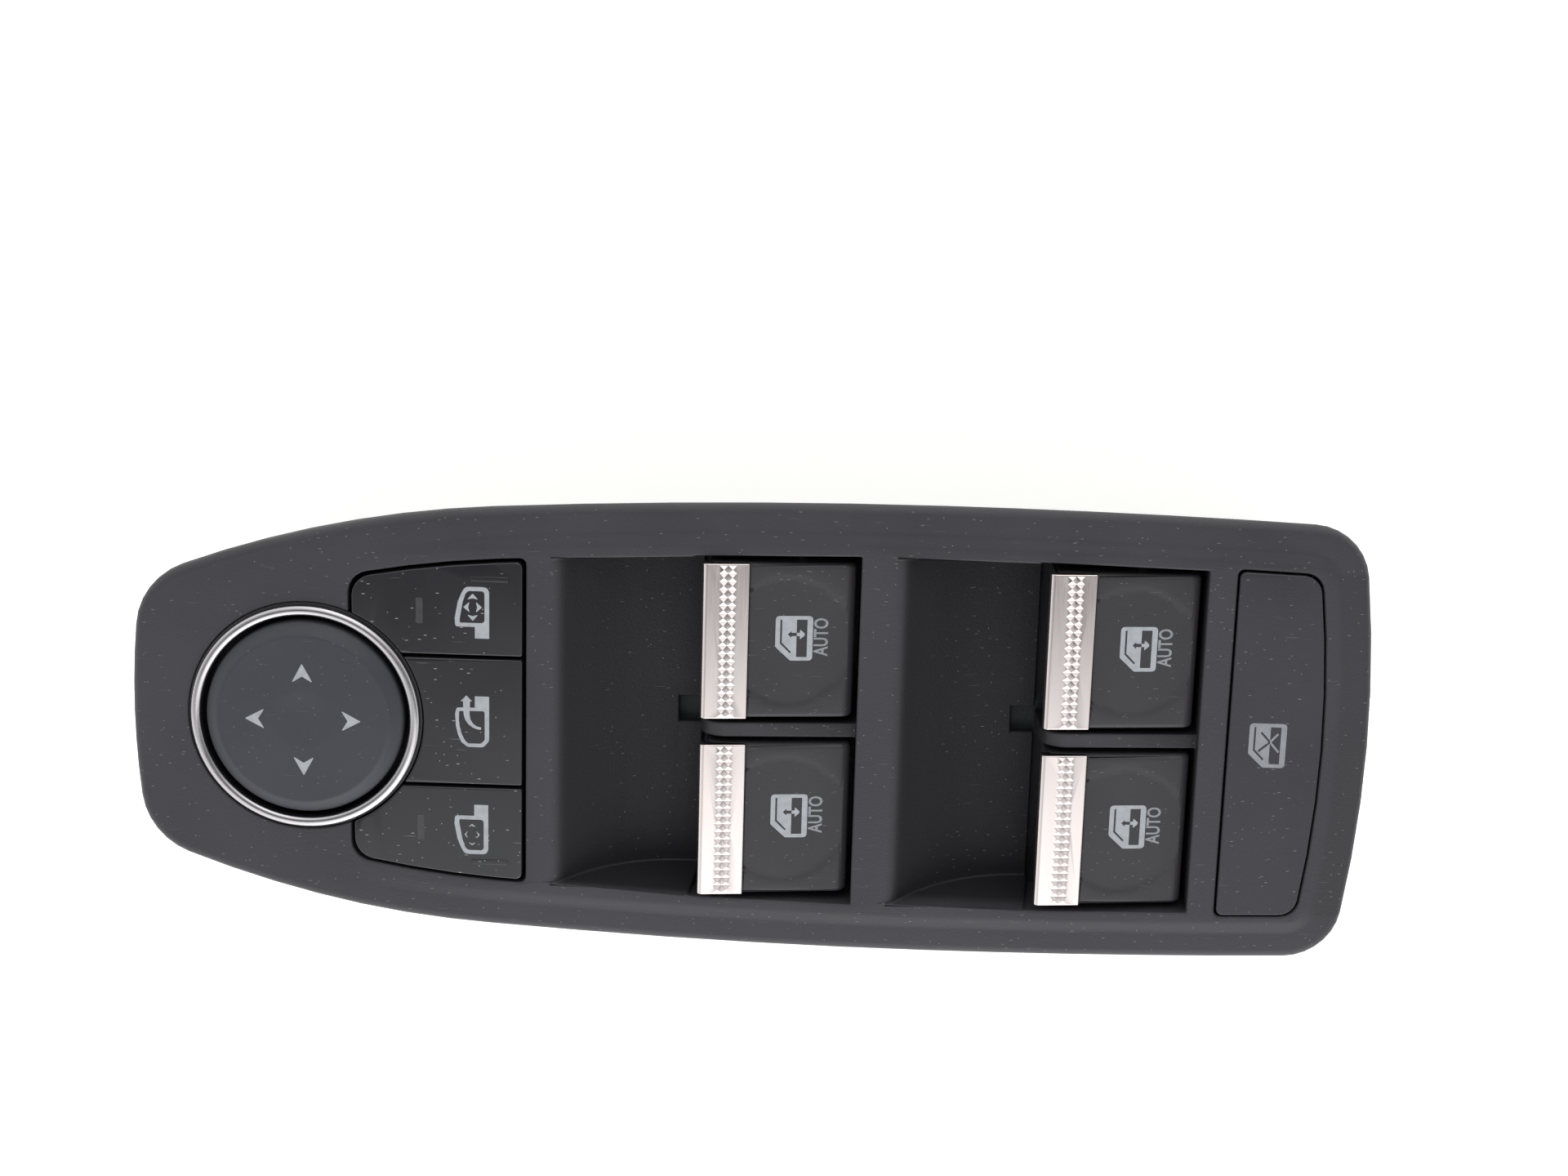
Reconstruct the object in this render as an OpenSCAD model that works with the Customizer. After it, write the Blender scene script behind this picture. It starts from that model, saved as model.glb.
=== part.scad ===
// Driver's door switch panel: four window rockers, a mirror pad, three mirror buttons and a lock button.
// Millimetres. +Z is the face, +X runs from the mirror pad to the lock button.
// The origin is the middle of the flat underside.

/* [Panel] */
// Height of the face above the underside
face_z = 32; // [31.5:0.5:38]
// Thickness of the face and its flange
face_t = 2.8; // [2.4:0.1:3.2]
// Radius of the rounded outer edge
edge_r = 1.5; // [0.8:0.1:2]

/* [Outline] */
// Distance from the rear end to the widest point
crown_end = 70.3; // [60:0.1:80]
// Curve of the long sides in front of the widest point
side_r_front = 1114; // [900:10:1400]
// Curve of the long sides behind the widest point
side_r_rear = 1561; // [1200:10:2000]
// Distance from the front end to where the shoulder starts to curve in
shoulder_end = 58.7; // [54:0.1:62]
// Curve of the front shoulders
shoulder_r = 172; // [160:1:185]
// Corner radius at the front end
corner_r_front = 12; // [10:0.5:16]
// Corner radius at the rear end
corner_r_rear = 9.6; // [9:0.2:13]
// Curve of the front end
end_r_front = 140; // [120:5:180]
// Curve of the rear end
end_r_rear = 200; // [160:5:260]

/* [Rim] */
// Width of the flat rim outside the raised field
rim_w = 4.2; // [3.5:0.1:4.6]
// Width of the slope from the rim up to the field
rim_slope_w = 2.6; // [1.6:0.1:2.8]
// Height of the field above the rim
rim_drop = 0.7; // [0.3:0.1:1]
// Distance from the front end to where the rim starts to drop below the field
rim_fade_end = 34.3; // [28:0.1:40]
// Length over which the rim drops
rim_fade_l = 34; // [20:1:50]

/* [Openings] */
// Distance from the outline to every opening
opening_inset = 8.2; // [8:0.1:8.6]
// Bar between the mirror buttons and the front finger pocket
bar_front = 4.8; // [4.4:0.1:6]
// Bar between the two finger pockets
bar_mid = 6.45; // [5.4:0.05:8]
// Bar between the rear finger pocket and the lock button
bar_rear = 4.5; // [4.2:0.1:6]
// Wall of the tubs and collars under the openings
tub_t = 1.5; // [1.2:0.1:1.6]
// Depth of the collars under the buttons
collar_h = 8; // [7:0.5:9]
// Gap round each button
button_gap = 0.55; // [0.4:0.05:0.7]

/* [Finger pockets] */
// Length of the scooped floor in front of the rockers
scoop_l = 22.05; // [20:0.05:23]
// Depth of the scoop below the face
scoop_depth = 12; // [10:0.5:12.5]
// Radius of the soft edge where the scoop meets the face
scoop_lead_r = 3; // [2:0.5:4]
// Distance from the scoop's front edge to the middle of its soft edge
scoop_lead_back = 1.5; // [1:0.1:2]
// Distance from the scoop's floor edge to its lowest line
scoop_low = 1.25; // [0.5:0.05:2]
// Lean of the scoop's side walls
scoop_draft = 8; // [4:1:10]
// Gap between the scoop's edge and the lips
lip_gap = 1.4; // [1.3:0.1:2]
// Gap behind the rockers
rear_gap = 1.3; // [1.2:0.1:1.8]
// Width of the divider between two rockers
divider_w = 2.4; // [1.8:0.1:2.6]
// Fall of the divider's top from front to rear
divider_fall = 2; // [0.5:0.1:3]
// Radius of the divider's front end
divider_r = 4; // [2:0.5:6]
// Width of the notch in the scoop's edge
notch_w = 4.4; // [3.4:0.1:6]
// Length of the notch in the scoop's edge
notch_l = 2.6; // [1.5:0.1:4]

/* [Window rockers] */
// Width of a rocker
rocker_w = 25.6; // [24:0.1:27]
// Space beside a rocker at the panel's widest point
rocker_side = 1.6; // [1.4:0.1:2]
// Gap between a rocker and the divider
divider_gap = 1; // [0.8:0.1:1.4]
// Length of a rocker
rocker_l = 24.05; // [23:0.05:26]
// Depth of a rocker's sides below the face
rocker_h = 11.6; // [10.5:0.1:11.6]
// Wall of a rocker
rocker_t = 1.6; // [1.2:0.1:2]
// Height of a rocker's top behind its lip, above the face
rocker_rise = 0.5; // [0:0.1:0.6]
// Slope of a rocker's top
rocker_slope = 7; // [3:0.5:9]
// Radius of a rocker's rear edge
rocker_end_r = 2; // [1.5:0.5:4]
// Distance from a lip's front to the middle of the rocker's thumb dish
dish_x = 13.9; // [13:0.1:15]
// Radius of a thumb dish at the middle of its sloping edge
dish_r = 10.6; // [9:0.1:11]
// Width of a thumb dish's sloping edge
dish_edge_w = 1.5; // [1:0.1:2]
// Depth of a thumb dish
dish_depth = 0.15; // [0.1:0.05:0.4]
// Chamfer of a rocker's edges
rocker_edge = 0.5; // [0.2:0.1:0.8]
// Tilt of a rocker each way, in degrees
rocker_tilt = 7; // [5:0.5:7]
// Distance from a lip's front to the axle
axle_back = 15.95; // [15:0.05:17]
// Depth of the axle below the face
axle_depth = 9; // [8.6:0.1:9.4]
// Radius of the axle
axle_r = 1; // [0.8:0.05:1.3]
// Radial running gap of every pivot
pivot_gap = 0.08; // [0.05:0.01:0.1]
// Distance from the axle to a rocker's front foot
foot_front = 11; // [9:0.5:11]
// Distance from the axle to a rocker's rear foot
foot_rear = 5; // [4:0.5:5]
// Length of a foot
foot_l = 3; // [2:0.5:3]
// Width of a foot
foot_w = 8; // [5:0.5:10]

/* [Metal lips] */
// Length of a lip along the panel
lip_l = 7.5; // [7:0.1:9]
// Height of a lip's front above the face
lip_rise = 1.5; // [1.2:0.1:1.8]
// Fall of a lip's top from front to rear
lip_fall = 0.75; // [0.4:0.05:0.9]
// Thickness of a lip
lip_t = 1; // [0.7:0.1:1.2]
// Depth of a lip's nose
nose_h = 2.3; // [1.8:0.1:3]
// Thickness of a lip's nose
nose_t = 1.7; // [1.2:0.1:2]
// Overhang of a lip in front of its rocker
nose_out = 0.75; // [0.3:0.05:1]
// Distance from a lip's front to its knurl
knurl_x = 2.75; // [2:0.05:3.2]
// Size of a knurl pyramid along the panel
knurl_l = 1.4; // [1:0.1:1.8]
// Distance between knurl rows
knurl_pitch = 1.32; // [1.2:0.02:1.34]
// Height of a knurl pyramid
knurl_h = 0.42; // [0.2:0.02:0.6]
// Plain metal left at each end of the knurl rows
knurl_end = 0.2; // [0.1:0.05:1]
// Columns of knurl pyramids
knurl_cols = 2; // [1:2]

/* [Mirror pad] */
// Distance from the front end to the pad's middle
mirror_end = 28.3; // [28:0.1:29]
// Outer radius of the bright ring
ring_r = 18.6; // [18.2:0.1:18.8]
// Width of the bright ring
ring_w = 1.6; // [1.2:0.1:1.6]
// Height of the bright ring above the face
ring_rise = 1; // [0.6:0.1:1.4]
// Depth of the ring's seat below the face
ring_depth = 5; // [4.6:0.1:5.2]
// Gap between the ring and the pad
pad_gap = 0.9; // [0.7:0.1:1.4]
// Width of the pad's bevel
pad_bevel_w = 2.1; // [1:0.1:3]
// Depth of the pad's dished top
pad_dish = 0.25; // [0.1:0.05:0.4]
// Radius of the pad's dished top
pad_dish_r = 60; // [40:5:120]
// Height of the pad's top above the face
pad_rise = 2.1; // [1.2:0.1:2.6]
// Height of the pad's bevel
pad_bevel_h = 1.5; // [0.8:0.1:2]
// Depth of the pad's skirt below the face
pad_skirt = 3.2; // [2:0.1:3.2]
// Tilt of the pad each way, in degrees
pad_tilt = 3.5; // [2:0.5:3.5]
// Depth of the gimbal below the face
gimbal_depth = 7; // [6.6:0.1:7.4]
// Outer radius of the gimbal ring
gimbal_r = 6.5; // [6:0.1:6.8]
// Radius of the gimbal's pins
gimbal_pin_r = 1; // [0.8:0.05:1.2]
// Height of the gimbal ring
gimbal_t = 3; // [2.4:0.1:3.4]
// Thickness of the lugs and posts that hold the gimbal's pins
gimbal_lug_t = 2; // [1.6:0.1:2.4]
// Width of the lugs and posts that hold the gimbal's pins
gimbal_lug_w = 5; // [4:0.1:6]
// Distance from the pad's middle to its feet along each axis
pad_foot_out = 6.5; // [6.3:0.1:6.7]
// Radius of a pad foot
pad_foot_r = 1.5; // [1.2:0.1:1.6]

/* [Mirror buttons] */
// Distance from the pad's middle to the buttons' front edge
cluster_front = 7.2; // [6.5:0.1:8]
// Distance from the pad's middle to the buttons' rear edge
cluster_rear = 35.8; // [35:0.1:37]
// Corner radius of the buttons' front corners
cluster_r = 3.6; // [2:0.1:5]
// Corner radius of the buttons' rear corners
corner_r = 1; // [0.6:0.1:1.4]
// Half width of the fold button
fold_half = 10.6; // [9.5:0.1:11.5]
// Thickness of every button
button_t = 3; // [2.4:0.1:3.2]
// Height of every button above the face
button_rise = 0.3; // [0.1:0.1:0.6]
// Travel of every button
button_travel = 1.2; // [0.8:0.1:1.4]
// Distance from the pad's middle to the side buttons' stems
side_stem_x = 26; // [24:0.5:28]
// Distance from the fold button's edge to the side buttons' stems
side_stem_y = 7.4; // [6.5:0.1:8.5]
// Distance from the pad's middle to the fold button's stem
fold_stem_x = 28; // [27:0.5:30]
// Length of a button's stem section
stem_l = 8; // [5:0.5:9]
// Width of a button's stem section
stem_w = 6; // [4:0.5:8]
// Gap round a stem in its guide
stem_gap = 0.3; // [0.2:0.05:0.4]
// Wall of a stem guide
guide_t = 2; // [1.4:0.1:2.4]
// Height of the stem guides above the deck
guide_h = 5; // [3:0.5:6]
// Distance from the pad's middle to the touch ridges
ridge_x = 30; // [26:0.5:32]
// Distance from a side button's outer opening edge to its touch ridge
ridge_in = 3.2; // [2.4:0.1:4]
// Length of a touch ridge
ridge_l = 6; // [4:0.5:8]
// Width of a touch ridge
ridge_w = 0.9; // [0.6:0.1:1.2]
// Height of a touch ridge
ridge_h = 0.35; // [0.2:0.05:0.5]

/* [Lock button] */
// Length of the lock button's opening
lock_l = 15.5; // [14:0.1:18]
// Corner radius at the lock button's rear corners
lock_r = 3; // [1.5:0.1:4]
// Distance from the lock button's front edge to its stem
lock_stem_x = 6.8; // [6:0.1:7.4]

/* [Case] */
// Inset of the skirt under the face
skirt_inset = 4.5; // [4:0.1:4.7]
// Wall of the skirt
skirt_t = 2; // [1.6:0.1:2.2]
// Length of skirt that laps the case
skirt_lap = 4; // [3:0.5:5]
// Gap between skirt and case
shell_gap = 0.3; // [0.2:0.05:0.4]
// Height of the deck above the underside
deck_z = 18; // [17.6:0.1:18.2]
// Thickness of the deck
deck_t = 2; // [1.6:0.1:2.4]
// Wall of the case
case_t = 1.8; // [1.4:0.1:2]
// Distance from the panel's front end to the case
case_front = 16.3; // [15.8:0.1:17.3]
// Distance from the case to the panel's rear end
case_rear = 8.3; // [7.9:0.1:9.3]
// Thickness of the base cover
base_t = 2.4; // [2.2:0.1:3]
// Height of the locating lip on the base cover
base_lip_h = 2; // [1:0.1:3]

/* [Snap hooks] */
// Length of a snap hook
hook_l = 7; // [5:0.5:9]
// Reach of a snap hook
hook_out = 1.3; // [0.8:0.1:1.5]
// Height of a snap hook
hook_h = 2; // [1.4:0.1:2.4]
// Distance between the snap hooks
hook_pitch = 55.25; // [50:0.25:58]

/* [Fixings] */
// Distance from the panel's front end to the front mounting bosses
boss_front = 11.3; // [10.9:0.1:11.7]
// Distance from the rear mounting bosses to the panel's rear end
boss_rear = 4.3; // [4.1:0.1:4.4]
// Distance between the two bosses of a pair
boss_pitch = 31; // [30:0.2:32]
// Radius of a mounting boss
boss_r = 3; // [2.6:0.1:3]
// Radius of a mounting boss's bore
boss_bore_r = 1.6; // [1.2:0.05:1.8]
// Depth of a mounting boss's bore
boss_bore_l = 10; // [6:0.5:10]
// Radius of a case screw
screw_r = 1.25; // [1:0.05:1.4]
// Length of a case screw below its head
screw_l = 9; // [6:0.5:10]
// Radius of a case screw's head
screw_head_r = 2.6; // [2.2:0.1:2.8]
// Thickness of a case screw's head
screw_head_h = 1.3; // [1:0.1:1.4]
// Radius of a screw boss inside the case
post_r = 3; // [2.8:0.1:3.2]
// Distance from the panel's half width to the front screw bosses
post_in_front = 20.6; // [19:0.1:22]
// Distance from the panel's half width to the middle screw bosses
post_in_middle = 13.6; // [13:0.1:15]
// Distance from the panel's half width to the rear screw bosses
post_in_rear = 17.6; // [15:0.1:19]
// Distance from the pad's middle to the front screw bosses
post_front_x = 7; // [6.5:0.1:7.5]
// Distance from the case's rear end to the rear screw bosses
post_rear_x = 5.6; // [5:0.1:7]

/* [Circuit board] */
// Height of the board's underside
board_z = 8; // [7.6:0.1:8.6]
// Thickness of the board
board_t = 1.6; // [1:0.1:1.8]
// Thickness of the dome mat
mat_t = 0.8; // [0.6:0.1:1]
// Height of a dome above the mat
dome_h = 2.2; // [1.6:0.1:2.4]
// Radius of a dome at its foot
dome_r = 3.4; // [2.8:0.1:3.6]
// Gap left above a dome when its button is fully pressed
press_gap = 0.4; // [0.3:0.05:0.6]
// Half width of the light guide
light_half = 1.5; // [1:0.1:1.8]
// Height of the light guide's bar
light_h = 3; // [2:0.1:3.4]
// Distance from the board up to the light guide's bar
light_gap = 2; // [1.6:0.1:2.4]
// Length of a light guide's leg
light_leg_l = 3; // [2:0.1:4]
// Distance from a light guide's end to its leg, and from a finger pocket's end to an LED
led_in = 12; // [11:0.5:13]
// Length of an LED
led_l = 3; // [2:0.1:3.4]
// Width of an LED
led_w = 2.6; // [1.6:0.1:2.8]
// Height of an LED
led_h = 1.2; // [0.6:0.1:1.4]
// Length of the controller chip's sides
chip_l = 12; // [8:0.5:14]
// Height of the controller chip
chip_h = 1.4; // [1:0.1:1.8]
// Radius of the board's rests
rest_r = 2; // [1.6:0.1:2.2]
// Distance from the connector's wall to the middle of the board's rests
rest_out = 2.2; // [2.2:0.1:3]

/* [Connector] */
// Place of the connector along the panel
plug_x = -12; // [-14:0.5:-8]
// Length of the connector's cavity
plug_l = 30; // [26:0.5:32]
// Width of the connector's cavity
plug_w = 11.2; // [10.6:0.1:13]
// Wall of the connector
plug_t = 1.2; // [1:0.1:1.6]
// Thickness of the connector's floor
plug_floor = 1.2; // [1:0.1:1.6]
// Distance between the pins along a row
pin_pitch = 3.4; // [2.4:0.1:3.6]
// Distance between the two rows of pins
pin_rows = 7.2; // [7:0.1:8]
// Width of a pin
pin_w = 0.8; // [0.6:0.05:0.9]
// Pins in each row
pin_count = 8; // [4:8]

/* [Hidden] */
$fn = 64;

// Sides of the panel: left is -Y, right is +Y
LEFT = -1;
RIGHT = 1;
// Overshoot of a cut past the surface it opens
over = 1;
// Depth that joined solids share
weld = 0.5;

// The panel is as long and wide as what it holds
pocket_l = scoop_l + lip_gap + rocker_l + rear_gap;
panel_l = mirror_end + cluster_rear + bar_front + 2 * pocket_l + bar_mid + bar_rear
    + lock_l + opening_inset - button_gap;
row_pitch = rocker_w + divider_w + 2 * divider_gap;
panel_w = 2 * (opening_inset + rocker_side) + row_pitch + rocker_w;

// Places along the panel, front to rear
crown_x = panel_l / 2 - crown_end;
shoulder_x = -panel_l / 2 + shoulder_end;
rim_fade_x = -panel_l / 2 + rim_fade_end;
case_x0 = -panel_l / 2 + case_front;
case_x1 = panel_l / 2 - case_rear;
boss_x0 = -panel_l / 2 + boss_front;
boss_x1 = panel_l / 2 - boss_rear;
mirror_x = -panel_l / 2 + mirror_end;
cluster_x0 = mirror_x + cluster_front;
cluster_x1 = mirror_x + cluster_rear;
pocket_pitch = pocket_l + bar_mid;
function pocket_x(pair) = cluster_x1 + bar_front + pair * pocket_pitch;
lock_x = pocket_x(1) + pocket_l + bar_rear;
function rocker_x(pair) = pocket_x(pair) + scoop_l + lip_gap;
function axle_x(pair) = rocker_x(pair) + axle_back;

// Heights
axle_z = face_z - axle_depth;
gimbal_z = face_z - gimbal_depth;
board_top = board_z + board_t;
dome_top = board_top + mat_t + dome_h;
stem_z = dome_top + press_gap + button_travel;
pad_foot_z = dome_top + press_gap + 2 * (pad_foot_out + pad_foot_r) * sin(pad_tilt);
// The four holes under the pad leave room for its feet at full tilt both ways
pad_hole_r = pad_foot_r + 1.4 * (gimbal_z - pad_foot_z) * sin(pad_tilt) + 0.8;
function foot_z(reach) = dome_top + press_gap + (reach + foot_l / 2) * sin(rocker_tilt);

// Sizes that fit another piece
shell_inset = skirt_inset + skirt_t + shell_gap;
ring_open_r = ring_r + button_gap - 0.05;
ring_bore_r = ring_r - 1;
collar_r = ring_open_r + tub_t;
pad_r = ring_r - ring_w - pad_gap;
pad_top_r = pad_r - pad_bevel_w;
knurl_rows = floor((rocker_w - 2 * knurl_end) / knurl_pitch);
knurl_w = knurl_rows * knurl_pitch;
edge_soft = 0.9;
lip_slope = atan(lip_fall / (lip_l - edge_soft));
bar_x = pocket_x(1) - bar_mid / 2;
post_places = [for (side = [LEFT, RIGHT]) each [
    [mirror_x - post_front_x, side * (panel_w / 2 - post_in_front)],
    [bar_x, side * (panel_w / 2 - post_in_middle)],
    [case_x1 - post_rear_x, side * (panel_w / 2 - post_in_rear)]
]];
button_stems = [
    [mirror_x + side_stem_x, fold_half + side_stem_y],
    [mirror_x + fold_stem_x, 0],
    [mirror_x + side_stem_x, -fold_half - side_stem_y],
    [lock_x + lock_stem_x, 0]
];
light_x0 = cluster_x1 + button_gap;
light_x1 = lock_x - light_leg_l;
light_legs = [light_x0 + light_leg_l, bar_x, light_x1 - light_leg_l];
led_places = [
    pocket_x(0) + led_in, pocket_x(1) - bar_mid - led_in, pocket_x(1) + led_in, lock_x - bar_rear - led_in
];

// A round stretch of outline, without its last point
function arc(c, r, a0, a1, n) =
    [for (i = [0:n - 1]) let (a = a0 + (a1 - a0) * i / n) c + r * [cos(a), sin(a)]];
// Where two circles meet, on the left of the line from the first middle to the second for side 1
function meet(c1, r1, c2, r2, side) =
    let (v = c2 - c1, d = norm(v), u = v / d, a = (r1 * r1 - r2 * r2 + d * d) / (2 * d))
    c1 + a * u + side * sqrt(r1 * r1 - a * a) * [-u[1], u[0]];
function heading(from, to) = atan2(to[1] - from[1], to[0] - from[0]);

// The outline is a chain of arcs, and an inset of it is the same chain with smaller radii
rear_end_c = [panel_l / 2 - end_r_rear, 0];
front_end_c = [-panel_l / 2 + end_r_front, 0];
rear_side_c = [crown_x, panel_w / 2 - side_r_rear];
front_side_c = [crown_x, panel_w / 2 - side_r_front];
shoulder_a = acos((shoulder_x - crown_x) / side_r_front);
shoulder_c = front_side_c + (side_r_front - shoulder_r) * [cos(shoulder_a), sin(shoulder_a)];
rear_corner_c = meet(rear_end_c, end_r_rear - corner_r_rear, rear_side_c, side_r_rear - corner_r_rear, 1);
front_corner_c = meet(front_end_c, end_r_front - corner_r_front, shoulder_c, shoulder_r - corner_r_front, -1);
rear_a0 = heading(rear_end_c, rear_corner_c);
rear_a1 = heading(rear_side_c, rear_corner_c);
front_a0 = heading(shoulder_c, front_corner_c);
front_a1 = heading(front_end_c, front_corner_c);
function half_outline(inset) = concat(
    arc(rear_end_c, end_r_rear - inset, 0, rear_a0, 3),
    arc(rear_corner_c, corner_r_rear - inset, rear_a0, rear_a1, 7),
    arc(rear_side_c, side_r_rear - inset, rear_a1, 90, 5),
    arc(front_side_c, side_r_front - inset, 90, shoulder_a, 5),
    arc(shoulder_c, shoulder_r - inset, shoulder_a, front_a0, 7),
    arc(front_corner_c, corner_r_front - inset, front_a0, front_a1, 6),
    arc(front_end_c, end_r_front - inset, front_a1, 180, 3)
);
function outline(inset) =
    let (upper = half_outline(inset), n = len(upper))
    concat(upper, [[-panel_l / 2 + inset, 0]], [for (i = [n - 1:-1:1]) [upper[i][0], -upper[i][1]]]);
// Half width of the panel between its shoulder and its rear corner
function side_y(x) =
    let (r = x > crown_x ? side_r_rear : side_r_front)
    panel_w / 2 - r + sqrt(r * r - (x - crown_x) * (x - crown_x));

// A closed skin through rings of points that all have the same count, listed from below
module loft(rings) {
    n = len(rings[0]);
    last = (len(rings) - 1) * n;
    polyhedron(
        points = [for (ring = rings) each ring],
        faces = concat(
            [[for (i = [0:n - 1]) i]],
            [[for (i = [n - 1:-1:0]) last + i]],
            [for (k = [0:len(rings) - 2], i = [0:n - 1]) [k * n + i, k * n + n + i, k * n + n + (i + 1) % n]],
            [for (k = [0:len(rings) - 2], i = [0:n - 1])
                [k * n + i, k * n + n + (i + 1) % n, k * n + (i + 1) % n]]
        )
    );
}

// A profile drawn in X and Z, made solid across the panel
module across(w) {
    rotate([90, 0, 0]) linear_extrude(w, center = true) children();
}

// A box that follows the panel's long sides, with walls that lean in towards its floor
module side_box(x0, x1, inset, z0, z1, lean) {
    in = (z1 - z0) * tan(lean);
    w0 = side_y(x0) - inset;
    w1 = side_y(x1) - inset;
    loft([
        [[x0, in - w0, z0], [x1, in - w1, z0], [x1, w1 - in, z0], [x0, w0 - in, z0]],
        [[x0, -w0, z1], [x1, -w1, z1], [x1, w1, z1], [x0, w0, z1]]
    ]);
}

module shell_area(inset) {
    intersection() {
        polygon(outline(inset));
        translate([case_x0 + inset - shell_inset, -panel_w / 2])
            square([case_x1 - case_x0 - 2 * (inset - shell_inset), panel_w]);
    }
}

// Area inside the case's walls, with a gap all round
module inner_area(gap) {
    offset(delta = -gap) shell_area(shell_inset + case_t);
}

module round_corners(r) {
    offset(r = r, $fn = 24) offset(delta = -r) children();
}

// The three mirror buttons together, shrunk by gap on every side
module cluster_window(gap, reach) {
    intersection() {
        polygon(outline(opening_inset + gap));
        translate([cluster_x0 + gap, -panel_w / 2])
            square([cluster_x1 - cluster_x0 - 2 * gap + reach, panel_w]);
    }
}

module cluster_area(gap) {
    intersection() {
        round_corners(cluster_r) cluster_window(gap, 12);
        round_corners(corner_r) cluster_window(gap, 0);
    }
}

module lock_window(gap, reach) {
    intersection() {
        polygon(outline(opening_inset - button_gap + gap));
        translate([lock_x + gap - reach, -panel_w / 2]) square([panel_l / 2 - lock_x + reach, panel_w]);
    }
}

module lock_area(gap) {
    intersection() {
        round_corners(lock_r) lock_window(gap, 12);
        round_corners(corner_r) lock_window(gap, 0);
    }
}

// Face of the bezel: rounded edge, flat rim, soft slope and raised field
function fade(t) = t <= 0 ? 0 : t >= 1 ? 1 : t * t * (3 - 2 * t);
function rim_z(x, share) = face_z - rim_drop * share * fade((x - rim_fade_x) / rim_fade_l);
function face_ring(inset, share, down) =
    [for (p = outline(inset)) [p[0], p[1], rim_z(p[0], share) - down]];

module face() {
    loft(concat(
        [[for (p = outline(0)) [p[0], p[1], face_z - face_t]]],
        [for (a = [0:30:90]) face_ring(edge_r * (1 - cos(a)), 1, edge_r * (1 - sin(a)))],
        [for (t = [0:0.25:1]) face_ring(rim_w + rim_slope_w * t, 1 - fade(t), 0)]
    ));
}

// Scooped floor of a finger pocket, seen from the side, with its soft front edge
module scoop_profile(extra) {
    reach = scoop_l + scoop_low + scoop_lead_back;
    scoop_r = (reach * reach / scoop_depth + scoop_depth) / 2 - scoop_lead_r;
    bottom = [scoop_l + scoop_low, face_z - scoop_depth + scoop_r];
    r = scoop_r + extra;
    lead = scoop_lead_r - extra;
    lead_c = [
        bottom[0] - sqrt(pow(r + lead, 2) - pow(bottom[1] - face_z + lead + extra, 2)),
        face_z - lead - extra
    ];
    a0 = heading(lead_c, bottom);
    a1 = heading(bottom, [scoop_l, bottom[1] - sqrt(r * r - pow(bottom[0] - scoop_l, 2))]) + 360;
    polygon(concat(
        [[scoop_l, face_z + over], [lead_c[0], face_z + over]],
        arc(lead_c, lead, 90, a0, 4),
        arc(bottom, r, 180 + a0, a1, 12),
        [bottom + r * [cos(a1), sin(a1)]]
    ));
}

module pocket_tub(pair) {
    x = pocket_x(pair);
    end = x + pocket_l;
    top = face_z - face_t + weld;
    intersection() {
        translate([x, 0, 0]) across(panel_w) scoop_profile(tub_t);
        side_box(x - tub_t - scoop_lead_r, x + scoop_l, opening_inset - tub_t, deck_z, top, 0);
    }
    side_box(x + scoop_l - tub_t, end + tub_t, opening_inset - tub_t, deck_z, top, 0);
}

module pocket_cut(pair) {
    x = pocket_x(pair);
    intersection() {
        translate([x, 0, 0]) across(panel_w) scoop_profile(0);
        side_box(
            x - scoop_lead_r, x + scoop_l + lip_gap, opening_inset,
            face_z - scoop_depth, face_z + over, scoop_draft
        );
    }
    side_box(x + scoop_l, x + pocket_l, opening_inset, deck_z - over, face_z + over, 0);
    translate([x + scoop_l - notch_l, -notch_w / 2, deck_z - over])
        cube([notch_l + over, notch_w, face_z - deck_z]);
}

module divider(pair) {
    front = rocker_x(pair);
    rear = pocket_x(pair) + pocket_l + weld;
    difference() {
        across(divider_w) polygon(concat(
            [[rear, deck_z], [rear, face_z - divider_fall]],
            arc([front + divider_r, face_z - divider_r], divider_r, 90, 180, 6),
            [[front, face_z - divider_r], [front, deck_z]]
        ));
        axle_cut(pair);
    }
}

module axle_cut(pair) {
    translate([axle_x(pair), 0, axle_z]) rotate([90, 0, 0])
        cylinder(r = axle_r + 0.05, h = panel_w, center = true);
}

module skirt() {
    bottom = deck_z - skirt_lap;
    translate([0, 0, bottom]) linear_extrude(face_z - face_t + weld - bottom) difference() {
        polygon(outline(skirt_inset));
        polygon(outline(skirt_inset + skirt_t));
    }
}

module at_hooks() {
    for (i = [-1:1], side = [LEFT, RIGHT]) {
        x = i * hook_pitch + hook_pitch / 4;
        translate([x, side * (side_y(x) - shell_inset), deck_z - skirt_lap / 2])
            mirror([0, side == LEFT ? 1 : 0, 0]) children();
    }
}

module at_bosses() {
    for (x = [boss_x0, boss_x1], side = [LEFT, RIGHT])
        translate([x, side * boss_pitch / 2, deck_z]) children();
}

module ring_collar() {
    translate([mirror_x, 0, face_z - collar_h])
        cylinder(r = collar_r, h = collar_h - face_t + weld);
}

module collar(z0) {
    translate([0, 0, z0]) linear_extrude(face_z - face_t + weld - z0) children();
}

module button_cut(z0) {
    translate([0, 0, z0]) linear_extrude(face_z + over - z0) children();
}

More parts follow.
